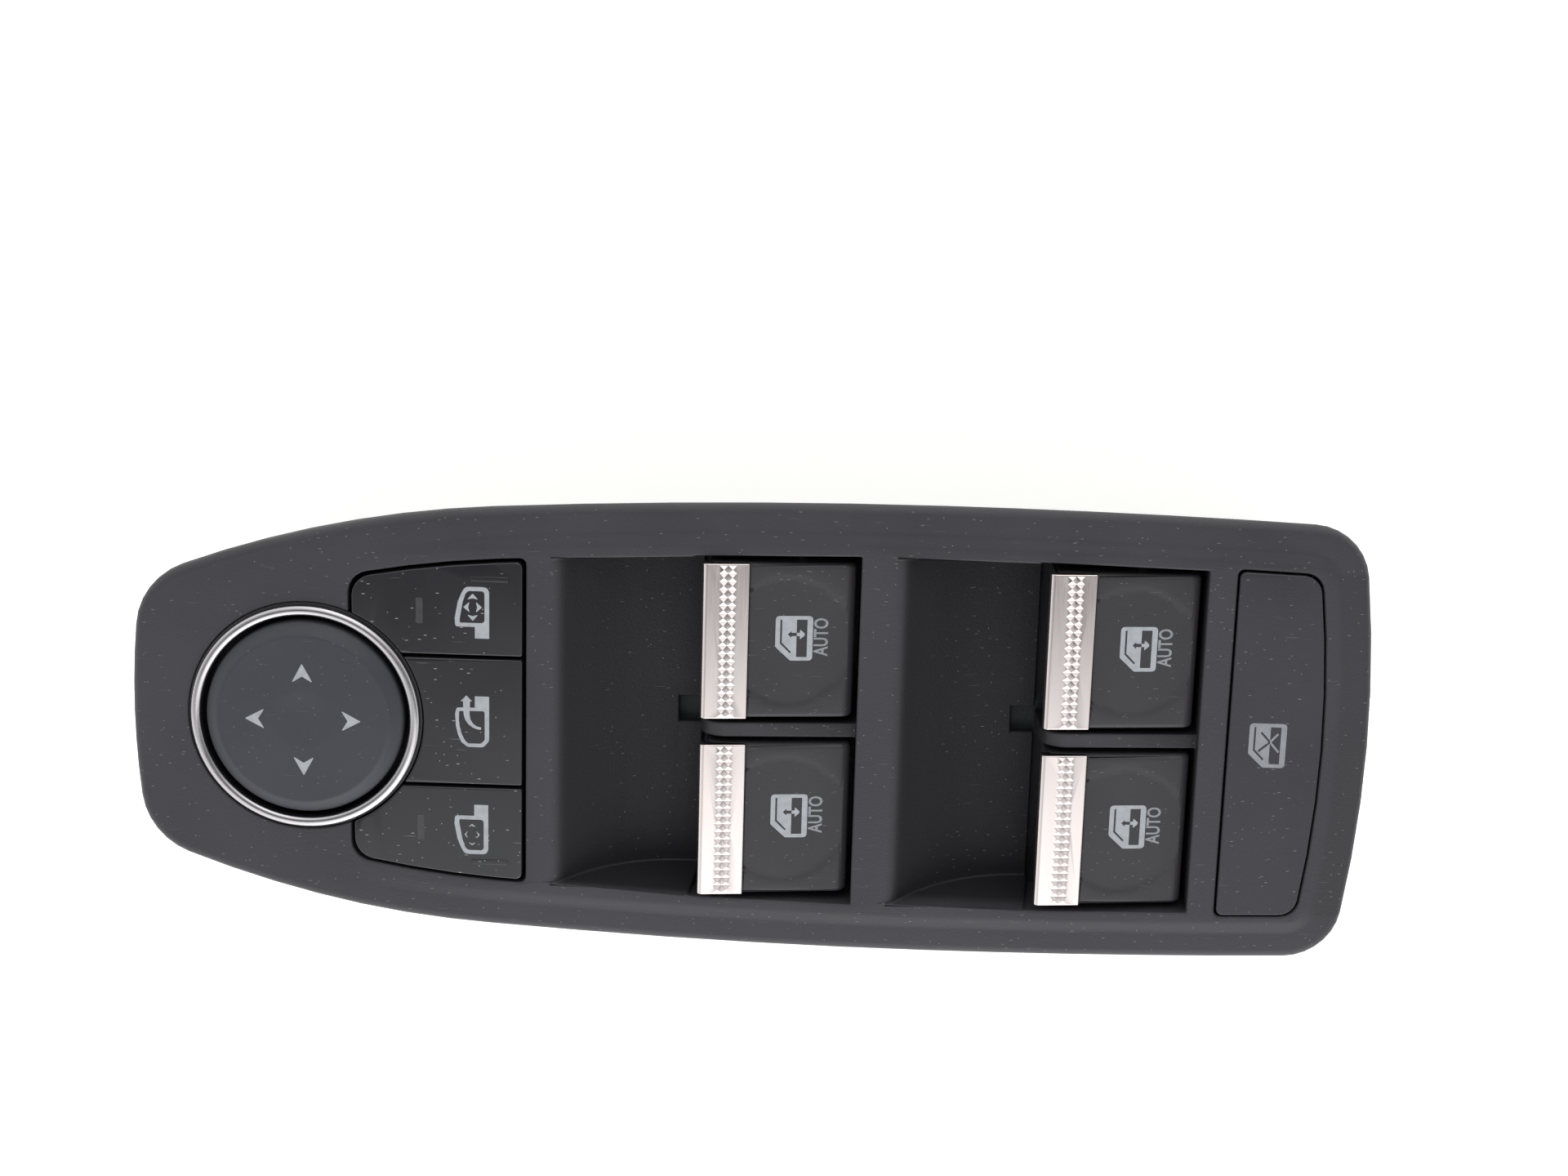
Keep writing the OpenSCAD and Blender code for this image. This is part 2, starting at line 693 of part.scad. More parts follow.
module bezel() {
    color("#3a3c40") {
        difference() {
            union() {
                face();
                skirt();
                ring_collar();
                collar(face_z - collar_h) cluster_area(-tub_t);
                collar(face_z - collar_h) lock_area(-tub_t);
                for (pair = [0, 1]) pocket_tub(pair);
                at_bosses() cylinder(r = boss_r, h = face_z - face_t + weld - deck_z);
            }
            for (pair = [0, 1]) pocket_cut(pair);
            for (pair = [0, 1]) axle_cut(pair);
            translate([mirror_x, 0, face_z - collar_h - over])
                cylinder(r = ring_bore_r, h = collar_h + 2 * over);
            translate([mirror_x, 0, face_z - ring_depth])
                cylinder(r = ring_open_r, h = ring_depth + over);
            button_cut(face_z - ring_depth - 0.3) cluster_area(0);
            button_cut(face_z - collar_h - over) difference() {
                cluster_area(0);
                translate([mirror_x, 0]) circle(r = collar_r);
            }
            button_cut(face_z - collar_h - over) lock_area(0);
            at_bosses() translate([0, 0, -over]) cylinder(r = boss_bore_r, h = boss_bore_l + over);
            at_hooks() translate([-hook_l / 2 - shell_gap, 0, -hook_h / 2 - shell_gap])
                cube([hook_l + 2 * shell_gap, skirt_t + 2 * shell_gap + over, hook_h + 2 * shell_gap]);
        }
        for (pair = [0, 1]) divider(pair);
    }
}

module mirror_ring() {
    r = ring_w / 2;
    color("#c9ccd0") translate([mirror_x, 0, 0]) rotate_extrude() {
        translate([ring_r - ring_w, face_z - ring_depth]) square([ring_w, ring_depth + ring_rise - r]);
        translate([ring_r - r, face_z + ring_rise - r]) circle(r = r, $fn = 24);
    }
}

module mirror_pad() {
    rim = face_z + pad_rise - pad_bevel_h;
    ceiling = face_z - 1;
    wall = 1.5;
    chamfer = 0.3;
    lug_y = gimbal_r + 1.5;
    color("#303236") translate([mirror_x, 0, 0]) {
        difference() {
            rotate_extrude() polygon([
                [0, ceiling], [pad_r - wall, ceiling], [pad_r - wall, face_z - pad_skirt],
                [pad_r, face_z - pad_skirt], [pad_r, rim - chamfer], [pad_r - chamfer, rim],
                [pad_top_r, face_z + pad_rise], [0, face_z + pad_rise]
            ]);
            translate([0, 0, face_z + pad_rise + pad_dish_r - pad_dish]) sphere(r = pad_dish_r, $fn = 96);
        }
        for (a = [0, 90, 180, 270]) rotate(a) translate([pad_foot_out, pad_foot_out, pad_foot_z])
            cylinder(r = pad_foot_r, h = ceiling + weld - pad_foot_z, $fn = 32);
        difference() {
            for (side = [LEFT, RIGHT])
                translate([
                    -gimbal_lug_w / 2,
                    side * (lug_y + gimbal_lug_t / 2) - gimbal_lug_t / 2,
                    gimbal_z - gimbal_lug_w / 2
                ]) cube([gimbal_lug_w, gimbal_lug_t, ceiling + weld - gimbal_z + gimbal_lug_w / 2]);
            translate([0, 0, gimbal_z]) rotate([90, 0, 0])
                cylinder(r = gimbal_pin_r + pivot_gap, h = 4 * gimbal_r, center = true, $fn = 32);
        }
    }
}

module mirror_pad_gimbal() {
    wall = 2.4;
    pin_l = gimbal_r + gimbal_lug_t + 1.7;
    color("#b9b4a6") translate([mirror_x, 0, gimbal_z]) {
        difference() {
            cylinder(r = gimbal_r, h = gimbal_t, center = true);
            cylinder(r = gimbal_r - wall, h = gimbal_t + over, center = true);
        }
        for (a = [0:90:270]) rotate([0, 90, a]) translate([0, 0, gimbal_r - 1])
            cylinder(r = gimbal_pin_r, h = pin_l - gimbal_r + 1, $fn = 32);
    }
}

module stem(i) {
    s = button_stems[i];
    translate([s[0] - stem_l / 2, s[1] - stem_w / 2, stem_z])
        cube([stem_l, stem_w, face_z - button_t + weld - stem_z]);
}

module button_cap() {
    translate([0, 0, face_z - button_t]) linear_extrude(button_t + button_rise) children();
}

module ridge(side) {
    x = mirror_x + ridge_x;
    translate([
        x - ridge_l / 2,
        side * (side_y(x) - opening_inset - ridge_in) - ridge_w / 2,
        face_z + button_rise - weld
    ]) cube([ridge_l, ridge_w, weld + ridge_h]);
}

module mirror_side_button(side) {
    color("#34363a") {
        button_cap() difference() {
            intersection() {
                cluster_area(button_gap);
                translate([cluster_x0, side == RIGHT ? fold_half + button_gap : -panel_w])
                    square([panel_l, panel_w - fold_half - button_gap]);
            }
            translate([mirror_x, 0]) circle(r = ring_open_r + 0.1);
        }
        stem(side == RIGHT ? 0 : 2);
        ridge(side);
    }
}

module mirror_left_button() {
    mirror_side_button(LEFT);
}

module mirror_right_button() {
    mirror_side_button(RIGHT);
}

module mirror_fold_button() {
    color("#34363a") {
        button_cap() difference() {
            intersection() {
                cluster_area(button_gap);
                translate([cluster_x0, -fold_half]) square([panel_l, 2 * fold_half]);
            }
            translate([mirror_x, 0]) circle(r = ring_open_r + 0.1);
        }
        stem(1);
    }
}

module window_lock_button() {
    color("#34363a") {
        button_cap() lock_area(button_gap);
        stem(3);
    }
}

// Side view of a rocker, from its front face round to its rear
module rocker_profile() {
    rear = rocker_l;
    lip_end = lip_l - edge_soft;
    end_c = [
        rear - rocker_end_r,
        rocker_rise - (rear - rocker_end_r - lip_end) * tan(rocker_slope) - rocker_end_r / cos(rocker_slope)
    ];
    polygon(concat(
        [[nose_out + 0.2, -rocker_h], [rear - 1.5, -rocker_h], [rear, -rocker_h + 3]],
        arc(end_c, rocker_end_r, 0, 90 - rocker_slope, 6),
        [end_c + rocker_end_r * [sin(rocker_slope), cos(rocker_slope)]],
        [[lip_end, rocker_rise], [nose_out, rocker_rise]]
    ));
}

// Side view of a lip, with its nose folded down over the rocker's front
module lip_profile() {
    top = lip_rise;
    polygon(concat(
        [[lip_l, top - lip_fall - lip_t], [lip_l, top - lip_fall]],
        arc([edge_soft, top - edge_soft], edge_soft, 90, 180, 5),
        [[0, top - edge_soft], [0.1, top - nose_h], [nose_t, top - nose_h], [nose_t, top - lip_fall - lip_t]]
    ));
}

module at_rocker(pair, side) {
    translate([rocker_x(pair), side * row_pitch / 2, face_z]) children();
}

module rocker_foot(reach, dir) {
    z = foot_z(reach) - face_z;
    translate([axle_back + dir * reach - foot_l / 2, -foot_w / 2, z]) cube([foot_l, foot_w, -3 - z]);
}

// Shallow flat dish for the thumb, sunk in a rocker's sloping top behind its lip
module thumb_dish() {
    z = rocker_rise - (dish_x - lip_l + edge_soft) * tan(rocker_slope);
    fall = dish_edge_w / dish_depth;
    intersection() {
        translate([dish_x, 0, z]) rotate([0, rocker_slope, 0]) translate([0, 0, -dish_depth]) cylinder(
            r1 = dish_r - dish_edge_w / 2,
            r2 = dish_r + dish_edge_w / 2 + over * fall,
            h = dish_depth + over
        );
        translate([lip_l, -rocker_w, z - rocker_h]) cube([rocker_l, 2 * rocker_w, 2 * rocker_h]);
    }
}

module rocker(pair, side) {
    color("#37363a") at_rocker(pair, side) {
        difference() {
            hull() {
                across(rocker_w - 2 * rocker_edge) rocker_profile();
                across(rocker_w) offset(delta = -rocker_edge) rocker_profile();
            }
            across(rocker_w + over) lip_profile();
            thumb_dish();
            translate([nose_out + rocker_t, rocker_t - rocker_w / 2, -rocker_h - over])
                cube([rocker_l - nose_out - 2 * rocker_t, rocker_w - 2 * rocker_t, rocker_h + over - 3.6]);
            translate([axle_back, 0, -axle_depth]) rotate([90, 0, 0])
                cylinder(r = axle_r + pivot_gap, h = rocker_w + over, center = true);
        }
        rocker_foot(foot_front, -1);
        rocker_foot(foot_rear, 1);
    }
}

// Rows and columns of small pyramids: one toothed bar crossed by another
module knurl() {
    teeth = [for (i = [0:knurl_rows - 1]) each [
        [(i + 0.5) * knurl_pitch - knurl_w / 2, knurl_h], [(i + 1) * knurl_pitch - knurl_w / 2, 0]
    ]];
    cols = [for (i = [0:knurl_cols - 1]) each [[(i + 0.5) * knurl_l, knurl_h], [(i + 1) * knurl_l, 0]]];
    sunk = 0.3;
    intersection() {
        rotate([90, 0, 90]) linear_extrude(knurl_cols * knurl_l)
            polygon(concat([[-knurl_w / 2, -sunk], [-knurl_w / 2, 0]], teeth, [[knurl_w / 2, -sunk]]));
        across(knurl_w)
            polygon(concat([[0, -sunk], [0, 0]], cols, [[knurl_cols * knurl_l, -sunk]]));
    }
}

module lip(pair, side) {
    color("#c4c6c9") at_rocker(pair, side) {
        across(rocker_w) lip_profile();
        translate([edge_soft, 0, lip_rise]) rotate([0, lip_slope, 0])
            translate([knurl_x - edge_soft, 0, 0]) knurl();
    }
}

module rocker_front_left() {
    rocker(0, LEFT);
}

module rocker_front_right() {
    rocker(0, RIGHT);
}

module rocker_rear_left() {
    rocker(1, LEFT);
}

module rocker_rear_right() {
    rocker(1, RIGHT);
}

module lip_front_left() {
    lip(0, LEFT);
}

module lip_front_right() {
    lip(0, RIGHT);
}

module lip_rear_left() {
    lip(1, LEFT);
}

module lip_rear_right() {
    lip(1, RIGHT);
}

module rocker_axles() {
    color("#9a9da1") for (pair = [0, 1]) {
        l = 2 * (side_y(axle_x(pair)) - opening_inset + tub_t - 0.2);
        translate([axle_x(pair), 0, axle_z]) rotate([90, 0, 0]) cylinder(r = axle_r, h = l, center = true);
    }
}

module foot_slots() {
    for (pair = [0, 1], side = [LEFT, RIGHT], foot = [[-1, foot_front], [1, foot_rear]]) {
        half = foot_l / 2 + (axle_z - foot_z(foot[1])) * sin(rocker_tilt) + 0.5;
        translate([
            axle_x(pair) + foot[0] * foot[1] - half,
            side * row_pitch / 2 - foot_w / 2 - 0.5,
            deck_z - deck_t - over
        ]) cube([2 * half, foot_w + 1, deck_t + 2 * over]);
    }
}

module gimbal_posts() {
    post_x = gimbal_r + 1.5 + gimbal_lug_t / 2;
    difference() {
        for (side = [-1, 1])
            translate([side * post_x - gimbal_lug_t / 2, -gimbal_lug_w / 2, deck_z - weld])
                cube([gimbal_lug_t, gimbal_lug_w, gimbal_z - deck_z + weld + gimbal_pin_r + 1]);
        translate([0, 0, gimbal_z]) rotate([0, 90, 0])
            cylinder(r = gimbal_pin_r + pivot_gap, h = 4 * gimbal_r, center = true, $fn = 32);
    }
}

module switch_housing() {
    color("#2b2c2f") {
        difference() {
            union() {
                translate([0, 0, base_t]) linear_extrude(deck_z - base_t) shell_area(shell_inset);
                for (s = button_stems)
                    translate([s[0] - stem_l / 2 - guide_t, s[1] - stem_w / 2 - guide_t, deck_z - weld])
                        cube([stem_l + 2 * guide_t, stem_w + 2 * guide_t, guide_h + weld]);
                at_hooks() translate([-hook_l / 2, -weld, 0]) rotate([90, 0, 90]) linear_extrude(hook_l)
                    polygon([
                        [0, -hook_h / 2], [weld + hook_out, hook_h / 2 - 0.4],
                        [weld + hook_out, hook_h / 2], [0, hook_h / 2]
                    ]);
            }
            difference() {
                translate([0, 0, base_t - over]) linear_extrude(deck_z - deck_t - base_t + over)
                    shell_area(shell_inset + case_t);
                for (p = post_places) translate([p[0], p[1], 0]) cylinder(r = post_r, h = deck_z);
            }
            for (p = post_places) translate([p[0], p[1], base_t - over])
                cylinder(r = screw_r + 0.05, h = screw_l + over + 1);
            for (s = button_stems)
                translate([
                    s[0] - stem_l / 2 - stem_gap,
                    s[1] - stem_w / 2 - stem_gap,
                    deck_z - deck_t - over
                ]) cube([stem_l + 2 * stem_gap, stem_w + 2 * stem_gap, deck_t + guide_h + 2 * over]);
            foot_slots();
            for (a = [0:90:270]) translate([mirror_x, 0, deck_z - deck_t - over]) rotate(a)
                translate([pad_foot_out, pad_foot_out]) cylinder(r = pad_hole_r, h = deck_t + 2 * over);
        }
        translate([mirror_x, 0, 0]) gimbal_posts();
    }
}

module plug_box(x_more, y_more) {
    translate([plug_x - plug_l / 2 - x_more, -plug_w / 2 - y_more])
        square([plug_l + 2 * x_more, plug_w + 2 * y_more]);
}

module board_rests() {
    y = plug_w / 2 + plug_t + rest_out;
    for (x = [case_x0 + 12, bar_x - 8, bar_x + 32, case_x1 - 12], side = [LEFT, RIGHT])
        translate([x, side * y, 0]) children();
}

module base_cover() {
    lip_space = 0.2;
    lip_wall = 1.4;
    head_z = base_t - screw_head_h - 0.4;
    color("#232427") difference() {
        union() {
            linear_extrude(base_t) shell_area(shell_inset);
            translate([0, 0, base_t - weld]) linear_extrude(base_lip_h + weld) difference() {
                inner_area(lip_space);
                inner_area(lip_space + lip_wall);
                for (p = post_places) translate([p[0], p[1]]) circle(r = post_r + lip_space);
            }
            board_rests() cylinder(r = rest_r, h = board_z, $fn = 32);
        }
        translate([0, 0, -over]) linear_extrude(base_t + 2 * over) plug_box(plug_t + 0.15, plug_t + 0.15);
        for (p = post_places) translate([p[0], p[1], -over]) {
            cylinder(r = screw_r + 0.25, h = base_t + base_lip_h + 2 * over);
            cylinder(r = screw_head_r + 0.2, h = head_z + screw_head_h + over);
        }
    }
}

module case_screws() {
    head_z = base_t - screw_head_h - 0.4;
    color("#8d9094") for (p = post_places) translate([p[0], p[1], head_z]) {
        difference() {
            cylinder(r = screw_head_r, h = screw_head_h);
            for (a = [0, 90]) rotate(a) translate([-screw_head_r * 0.55, -0.35, -over])
                cube([screw_head_r * 1.1, 0.7, over + screw_head_h * 0.6]);
        }
        cylinder(r = screw_r, h = screw_head_h + screw_l);
    }
}

module circuit_board() {
    color("#1f5136") translate([0, 0, board_z]) linear_extrude(board_t) difference() {
        inner_area(0.8);
        for (p = post_places) translate([p[0], p[1]]) circle(r = post_r + 0.4);
    }
}

module dome_places() {
    for (pair = [0, 1], side = [LEFT, RIGHT], x = [-foot_front, foot_rear])
        translate([axle_x(pair) + x, side * row_pitch / 2]) children();
    for (s = button_stems) translate([s[0], s[1]]) children();
    for (a = [0:90:270]) translate([mirror_x, 0]) rotate(a)
        translate([pad_foot_out, pad_foot_out]) children();
}

module dome_mat() {
    color("#8f9296") {
        translate([0, 0, board_top]) linear_extrude(mat_t) difference() {
            inner_area(2);
            for (p = post_places) translate([p[0], p[1]]) circle(r = post_r + 0.8);
            translate([light_x0 - 0.8, -light_half - 0.8])
                square([light_x1 - light_x0 + 1.6, 2 * light_half + 1.6]);
        }
        dome_places() translate([0, 0, board_top + mat_t - 0.2])
            cylinder(r1 = dome_r, r2 = dome_r * 0.62, h = dome_h + 0.2, $fn = 32);
    }
}

module connector_header() {
    base_gap = 0.4;
    color("#3f4247") translate([0, 0, base_gap]) difference() {
        linear_extrude(board_z - base_gap) plug_box(plug_t, plug_t);
        translate([0, 0, -over]) linear_extrude(board_z - base_gap - plug_floor + over) plug_box(0, 0);
        for (i = [0:pin_count - 1], side = [LEFT, RIGHT]) at_pin(i, side)
            translate([-0.02, -0.02, 0]) cube([pin_w + 0.04, pin_w + 0.04, board_z + over]);
        translate([plug_x - 3, plug_w / 2 - over, -over]) cube([6, plug_t + 2 * over, 4 + over]);
    }
}

module at_pin(i, side) {
    translate([
        plug_x + (i - (pin_count - 1) / 2) * pin_pitch - pin_w / 2,
        side * pin_rows / 2 - pin_w / 2,
        0
    ]) children();
}

module connector_pins() {
    color("#c8b060") for (i = [0:pin_count - 1], side = [LEFT, RIGHT])
        at_pin(i, side) translate([0, 0, 2]) cube([pin_w, pin_w, board_z - 2]);
}

module light_guide() {
    z = board_top + light_gap;
    color("#d8e4ea", 0.6) {
        translate([light_x0, -light_half, z]) cube([light_x1 - light_x0, 2 * light_half, light_h]);
        for (x = light_legs) translate([x - light_leg_l / 2, -light_half, board_top])
            cube([light_leg_l, 2 * light_half, light_gap + weld]);
    }
}

module board_leds() {
    color("#f3efdc") for (x = led_places)
        translate([x - led_l / 2, -led_w / 2, board_top]) cube([led_l, led_w, led_h]);
}

module controller_chip() {
    color("#1b1c1e") translate([pocket_x(1) + led_in - chip_l / 2, -chip_l / 2, board_z - chip_h])
        cube([chip_l, chip_l, chip_h]);
}

bezel();
mirror_ring();
mirror_pad();
mirror_pad_gimbal();
mirror_left_button();
mirror_fold_button();
mirror_right_button();
window_lock_button();
rocker_front_left();
rocker_front_right();
rocker_rear_left();
rocker_rear_right();
lip_front_left();
lip_front_right();
lip_rear_left();
lip_rear_right();
rocker_axles();
switch_housing();
base_cover();
circuit_board();
dome_mat();
connector_header();
connector_pins();
case_screws();
light_guide();
board_leds();
controller_chip();
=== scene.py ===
"""Looks of a driver's door switch panel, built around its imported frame."""

import math

import bmesh
import bpy
from mathutils import Matrix, Vector


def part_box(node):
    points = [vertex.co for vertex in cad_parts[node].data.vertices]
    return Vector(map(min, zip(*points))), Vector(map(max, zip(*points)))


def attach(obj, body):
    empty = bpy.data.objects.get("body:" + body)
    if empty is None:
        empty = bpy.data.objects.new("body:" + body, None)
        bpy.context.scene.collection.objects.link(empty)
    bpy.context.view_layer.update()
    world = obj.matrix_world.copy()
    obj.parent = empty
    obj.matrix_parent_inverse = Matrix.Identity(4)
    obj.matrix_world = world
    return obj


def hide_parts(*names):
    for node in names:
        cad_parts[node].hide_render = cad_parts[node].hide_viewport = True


bl_info = {
    "name": "Door Switch Panel",
    "version": (1, 0, 0),
    "blender": (4, 5, 0),
    "location": "3D View > Sidebar > Switch Panel",
    "description": "Gives the packed switch panel its mouldings, metal trim, printed symbols and finishes",
    "category": "Object",
}

MM = 0.001
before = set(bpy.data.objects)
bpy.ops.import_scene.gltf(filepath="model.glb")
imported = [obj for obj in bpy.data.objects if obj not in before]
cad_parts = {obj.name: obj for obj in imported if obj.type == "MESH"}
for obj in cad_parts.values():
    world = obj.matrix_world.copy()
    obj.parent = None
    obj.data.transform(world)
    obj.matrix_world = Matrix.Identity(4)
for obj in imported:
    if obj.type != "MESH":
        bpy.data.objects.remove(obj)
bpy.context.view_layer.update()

# The camera stands where the photograph was taken from, over a frame of 1920 by 1440
CAMERA_PLACE = Vector((10.5, 109.7, 395.5)) * MM
CAMERA_TURN = (-13.2793, 0.8328, 1.8126)
CAMERA_LENS = 53.75
SENSOR_WIDTH = 36.0

FLOOR_GAP = 1.4 * MM
FLOOR_END_Z = 20.1 * MM
ROCKERS = [(pair, side) for pair in ("front", "rear") for side in ("left", "right")]
FACE_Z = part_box("bezel")[1].z
PRINT_T = 0.03 * MM
LOCK_CAP_Z = FACE_Z - 3.0 * MM
FLAT = math.radians(0.02)
POCKET_HALF = 29.0 * MM
RIDGE_SENSE = 0.1 * MM
RING_HALF = 0.8 * MM
SHELF_T = 0.6 * MM

# How bright the studio is from its near side, at -1, over the middle to its far side, at 1
STUDIO_STRENGTH = 4.0
STUDIO_LIGHT = [
    (-1.0, 0.8), (-0.75, 0.75), (-0.5, 0.6), (-0.36, 0.5), (-0.305, 0.45), (-0.28, 0.37), (-0.262, 0.24),
    (-0.245, 0.09), (-0.22, 0.05), (-0.1, 0.04), (0.15, 0.05), (0.3, 0.2), (0.5, 0.42), (0.7, 0.55), (1.0, 0.55),
]
# The share of that light towards the studio's two ends, and the ends' own light, from -1 to 1
STUDIO_SHARE = [
    (-1.0, 0.3), (-0.75, 0.3), (-0.3, 0.6), (-0.14, 0.75), (0.05, 1.0), (0.3, 1.0), (0.75, 0.3), (1.0, 0.3),
]
STUDIO_ENDS = [
    (-1.0, 0.3), (-0.85, 0.2), (-0.6, 0.1), (-0.35, 0.0), (0.3, 0.0), (0.45, 0.03), (0.75, 0.04), (0.9, 0.22),
    (1.0, 0.3),
]
STUDIO_TINT = (0.965, 0.98, 1.0)
FLOOR_GLOW = 0.5


# Working on one piece at a time

def work_on(piece):
    """Selects this piece alone and makes it the active one."""
    if bpy.context.object and bpy.context.object.mode != "OBJECT":
        bpy.ops.object.mode_set(mode="OBJECT")
    bpy.ops.object.select_all(action="DESELECT")
    bpy.context.view_layer.objects.active = piece
    piece.select_set(True)


def begin_edit(piece):
    work_on(piece)
    bpy.ops.object.mode_set(mode="EDIT")
    bpy.ops.mesh.select_all(action="SELECT")


def end_edit():
    bpy.ops.object.mode_set(mode="OBJECT")


def select_verts(piece, test):
    """In edit mode, selects the vertices that the test names."""
    mesh = bmesh.from_edit_mesh(piece.data)
    bpy.ops.mesh.select_mode(type="VERT")
    for v in mesh.verts:
        v.select_set(bool(test(v.co)))
    mesh.select_flush_mode()
    bmesh.update_edit_mesh(piece.data)


def apply_modifier(piece, kind, name, **settings):
    modifier = piece.modifiers.new(name, kind)
    for key, value in settings.items():
        setattr(modifier, key, value)
    work_on(piece)
    bpy.ops.object.modifier_apply(modifier=modifier.name)


def settle(piece):
    """Puts a finished piece's place into its mesh, with its object at the origin."""
    work_on(piece)
    bpy.ops.object.transform_apply(location=True, rotation=True, scale=True)


def smooth(piece, degrees):
    work_on(piece)
    bpy.ops.object.shade_smooth_by_angle(angle=math.radians(degrees))
    apply_modifier(piece, "WEIGHTED_NORMAL", "Even shading", keep_sharp=True)


def give(piece, finish, body, slot, *nodes):
    """Sets a piece's finish and the body that it rides on, and hides the nodes that it stands for. The slot is not
    used.
    """
    piece.data.materials.clear()
    piece.data.materials.append(finish)
    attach(piece, body)
    if nodes:
        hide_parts(*nodes)


def soft_edged(node, name, bevels, reshape=None):
    """A moulding made from its node: the same solid, reshaped a little, with its hard edges rounded.

    bevels is a list of radius, segments and least angle, one for each round of edges. The faces are
    split into triangles before the rounding, since a large face with a hole in it could fold over."""
    piece = bpy.data.objects.new(name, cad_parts[node].data.copy())
    bpy.context.scene.collection.objects.link(piece)
    begin_edit(piece)
    bpy.ops.mesh.remove_doubles(threshold=0.002 * MM)
    bpy.ops.mesh.dissolve_limited(angle_limit=FLAT)
    if reshape:
        reshape(piece)
    bpy.ops.mesh.select_all(action="SELECT")
    bpy.ops.mesh.quads_convert_to_tris(quad_method="BEAUTY", ngon_method="BEAUTY")
    end_edit()
    for radius, segments, angle in bevels:
        apply_modifier(
            piece, "BEVEL", "Rounded edges", width=radius, segments=segments,
            limit_method="ANGLE", angle_limit=math.radians(angle), use_clamp_overlap=False, loop_slide=False,
        )
    begin_edit(piece)
    bpy.ops.mesh.dissolve_limited(angle_limit=FLAT)
    end_edit()
    smooth(piece, 40)
    return piece


# Node groups

def new_group(name, inputs, outputs):
    group = bpy.data.node_groups.new(name, "ShaderNodeTree")
    for label, kind, value in inputs:
        socket = group.interface.new_socket(name=label, in_out="INPUT", socket_type=kind)
        socket.default_value = value
    for label, kind in outputs:
        group.interface.new_socket(name=label, in_out="OUTPUT", socket_type=kind)
    return group, group.nodes.new("NodeGroupInput"), group.nodes.new("NodeGroupOutput")


def add(tree, kind, values=(), **settings):
    """A node with its settings, and values or links for its inputs by name or number."""
    node = tree.nodes.new(kind)
    for key, value in settings.items():
        setattr(node, key, value)
    for key, value in dict(values).items():
        if isinstance(value, bpy.types.NodeSocket):
            tree.links.new(value, node.inputs[key])
        else:
            node.inputs[key].default_value = value
    return node


def math_node(tree, operation, *values):
    return add(tree, "ShaderNodeMath", dict(enumerate(values)), operation=operation).outputs[0]


def remap(tree, value, low, high, to_low=0.0, to_high=1.0):
    values = {0: value, 1: low, 2: high, 3: to_low, 4: to_high}
    return add(tree, "ShaderNodeMapRange", values, clamp=True).outputs[0]


def grain_group():
    """Fine moulded grain: small rounded bumps over a slower ripple."""
    group, given, out = new_group(
        "Moulded Grain",
        [("Size", "NodeSocketFloat", 0.3), ("Ripple", "NodeSocketFloat", 0.2)],
        [("Height", "NodeSocketFloat"), ("Mottle", "NodeSocketFloat")],
    )
    place = add(group, "ShaderNodeTexCoord").outputs["Object"]
    per_metre = math_node(group, "DIVIDE", 1000.0, given.outputs["Size"])
    bumps = add(group, "ShaderNodeTexVoronoi", {"Vector": place, "Scale": per_metre}, feature="SMOOTH_F1")
    bumps.inputs["Smoothness"].default_value = 0.6
    slow = math_node(group, "MULTIPLY", per_metre, 0.09)
    ripple = add(group, "ShaderNodeTexNoise", {"Vector": place, "Scale": slow, "Detail": 3.0})
    share = math_node(group, "MULTIPLY", ripple.outputs[0], given.outputs["Ripple"])
    height = math_node(group, "ADD", bumps.outputs["Distance"], share)
    mottle = add(group, "ShaderNodeTexNoise", {"Vector": place, "Scale": 55.0, "Detail": 5.0})
    group.links.new(height, out.inputs["Height"])
    group.links.new(mottle.outputs[0], out.inputs["Mottle"])
    return group


def dust_group():
    """Specks of dust and short pale dashes on upward faces, and a few long fine scratches."""
    group, given, out = new_group(
        "Dust And Scratches",
        [(label, "NodeSocketFloat", 0.5) for label in ("Specks", "Dashes", "Scratches")],
        [("Mask", "NodeSocketFloat")],
    )
    place = add(group, "ShaderNodeTexCoord").outputs["Object"]
    upward = add(group, "ShaderNodeSeparateXYZ", {0: add(group, "ShaderNodeNewGeometry").outputs["Normal"]})
    upward = remap(group, upward.outputs["Z"], 0.75, 0.92)

    def scattered(scale, turn, reach, share, label):
        """Marks in random cells of a grid stretched to this scale, each a soft dot in its cell."""
        cells = add(group, "ShaderNodeMapping", {"Vector": place, "Rotation": (0.0, 0.0, turn)})
        cells.inputs["Scale"].default_value = scale
        dots = add(
            group, "ShaderNodeTexVoronoi", {"Vector": cells.outputs[0], "Scale": 1.0, "Randomness": 1.0},
            voronoi_dimensions="2D",
        )
        near = remap(group, dots.outputs["Distance"], reach, reach * 0.35)
        chance = add(group, "ShaderNodeTexWhiteNoise", {"Vector": dots.outputs["Position"]}, noise_dimensions="3D")
        few = remap(group, chance.outputs["Value"], 1 - share, 1 - share * 0.4)
        return math_node(group, "MULTIPLY", math_node(group, "MULTIPLY", near, few), given.outputs[label])

    specks = scattered((1000.0, 1000.0, 1.0), 0.0, 0.11, 0.07, "Specks")
    dashes = scattered((480.0, 2100.0, 1.0), 0.12, 0.17, 0.06, "Dashes")
    scratches = scattered((120.0, 5200.0, 1.0), -0.35, 0.16, 0.02, "Scratches")
    total = math_node(group, "ADD", math_node(group, "ADD", specks, dashes), scratches)
    total = add(group, "ShaderNodeMath", {0: total, 1: upward}, operation="MULTIPLY", use_clamp=True)
    group.links.new(total.outputs[0], out.inputs["Mask"])
    return group


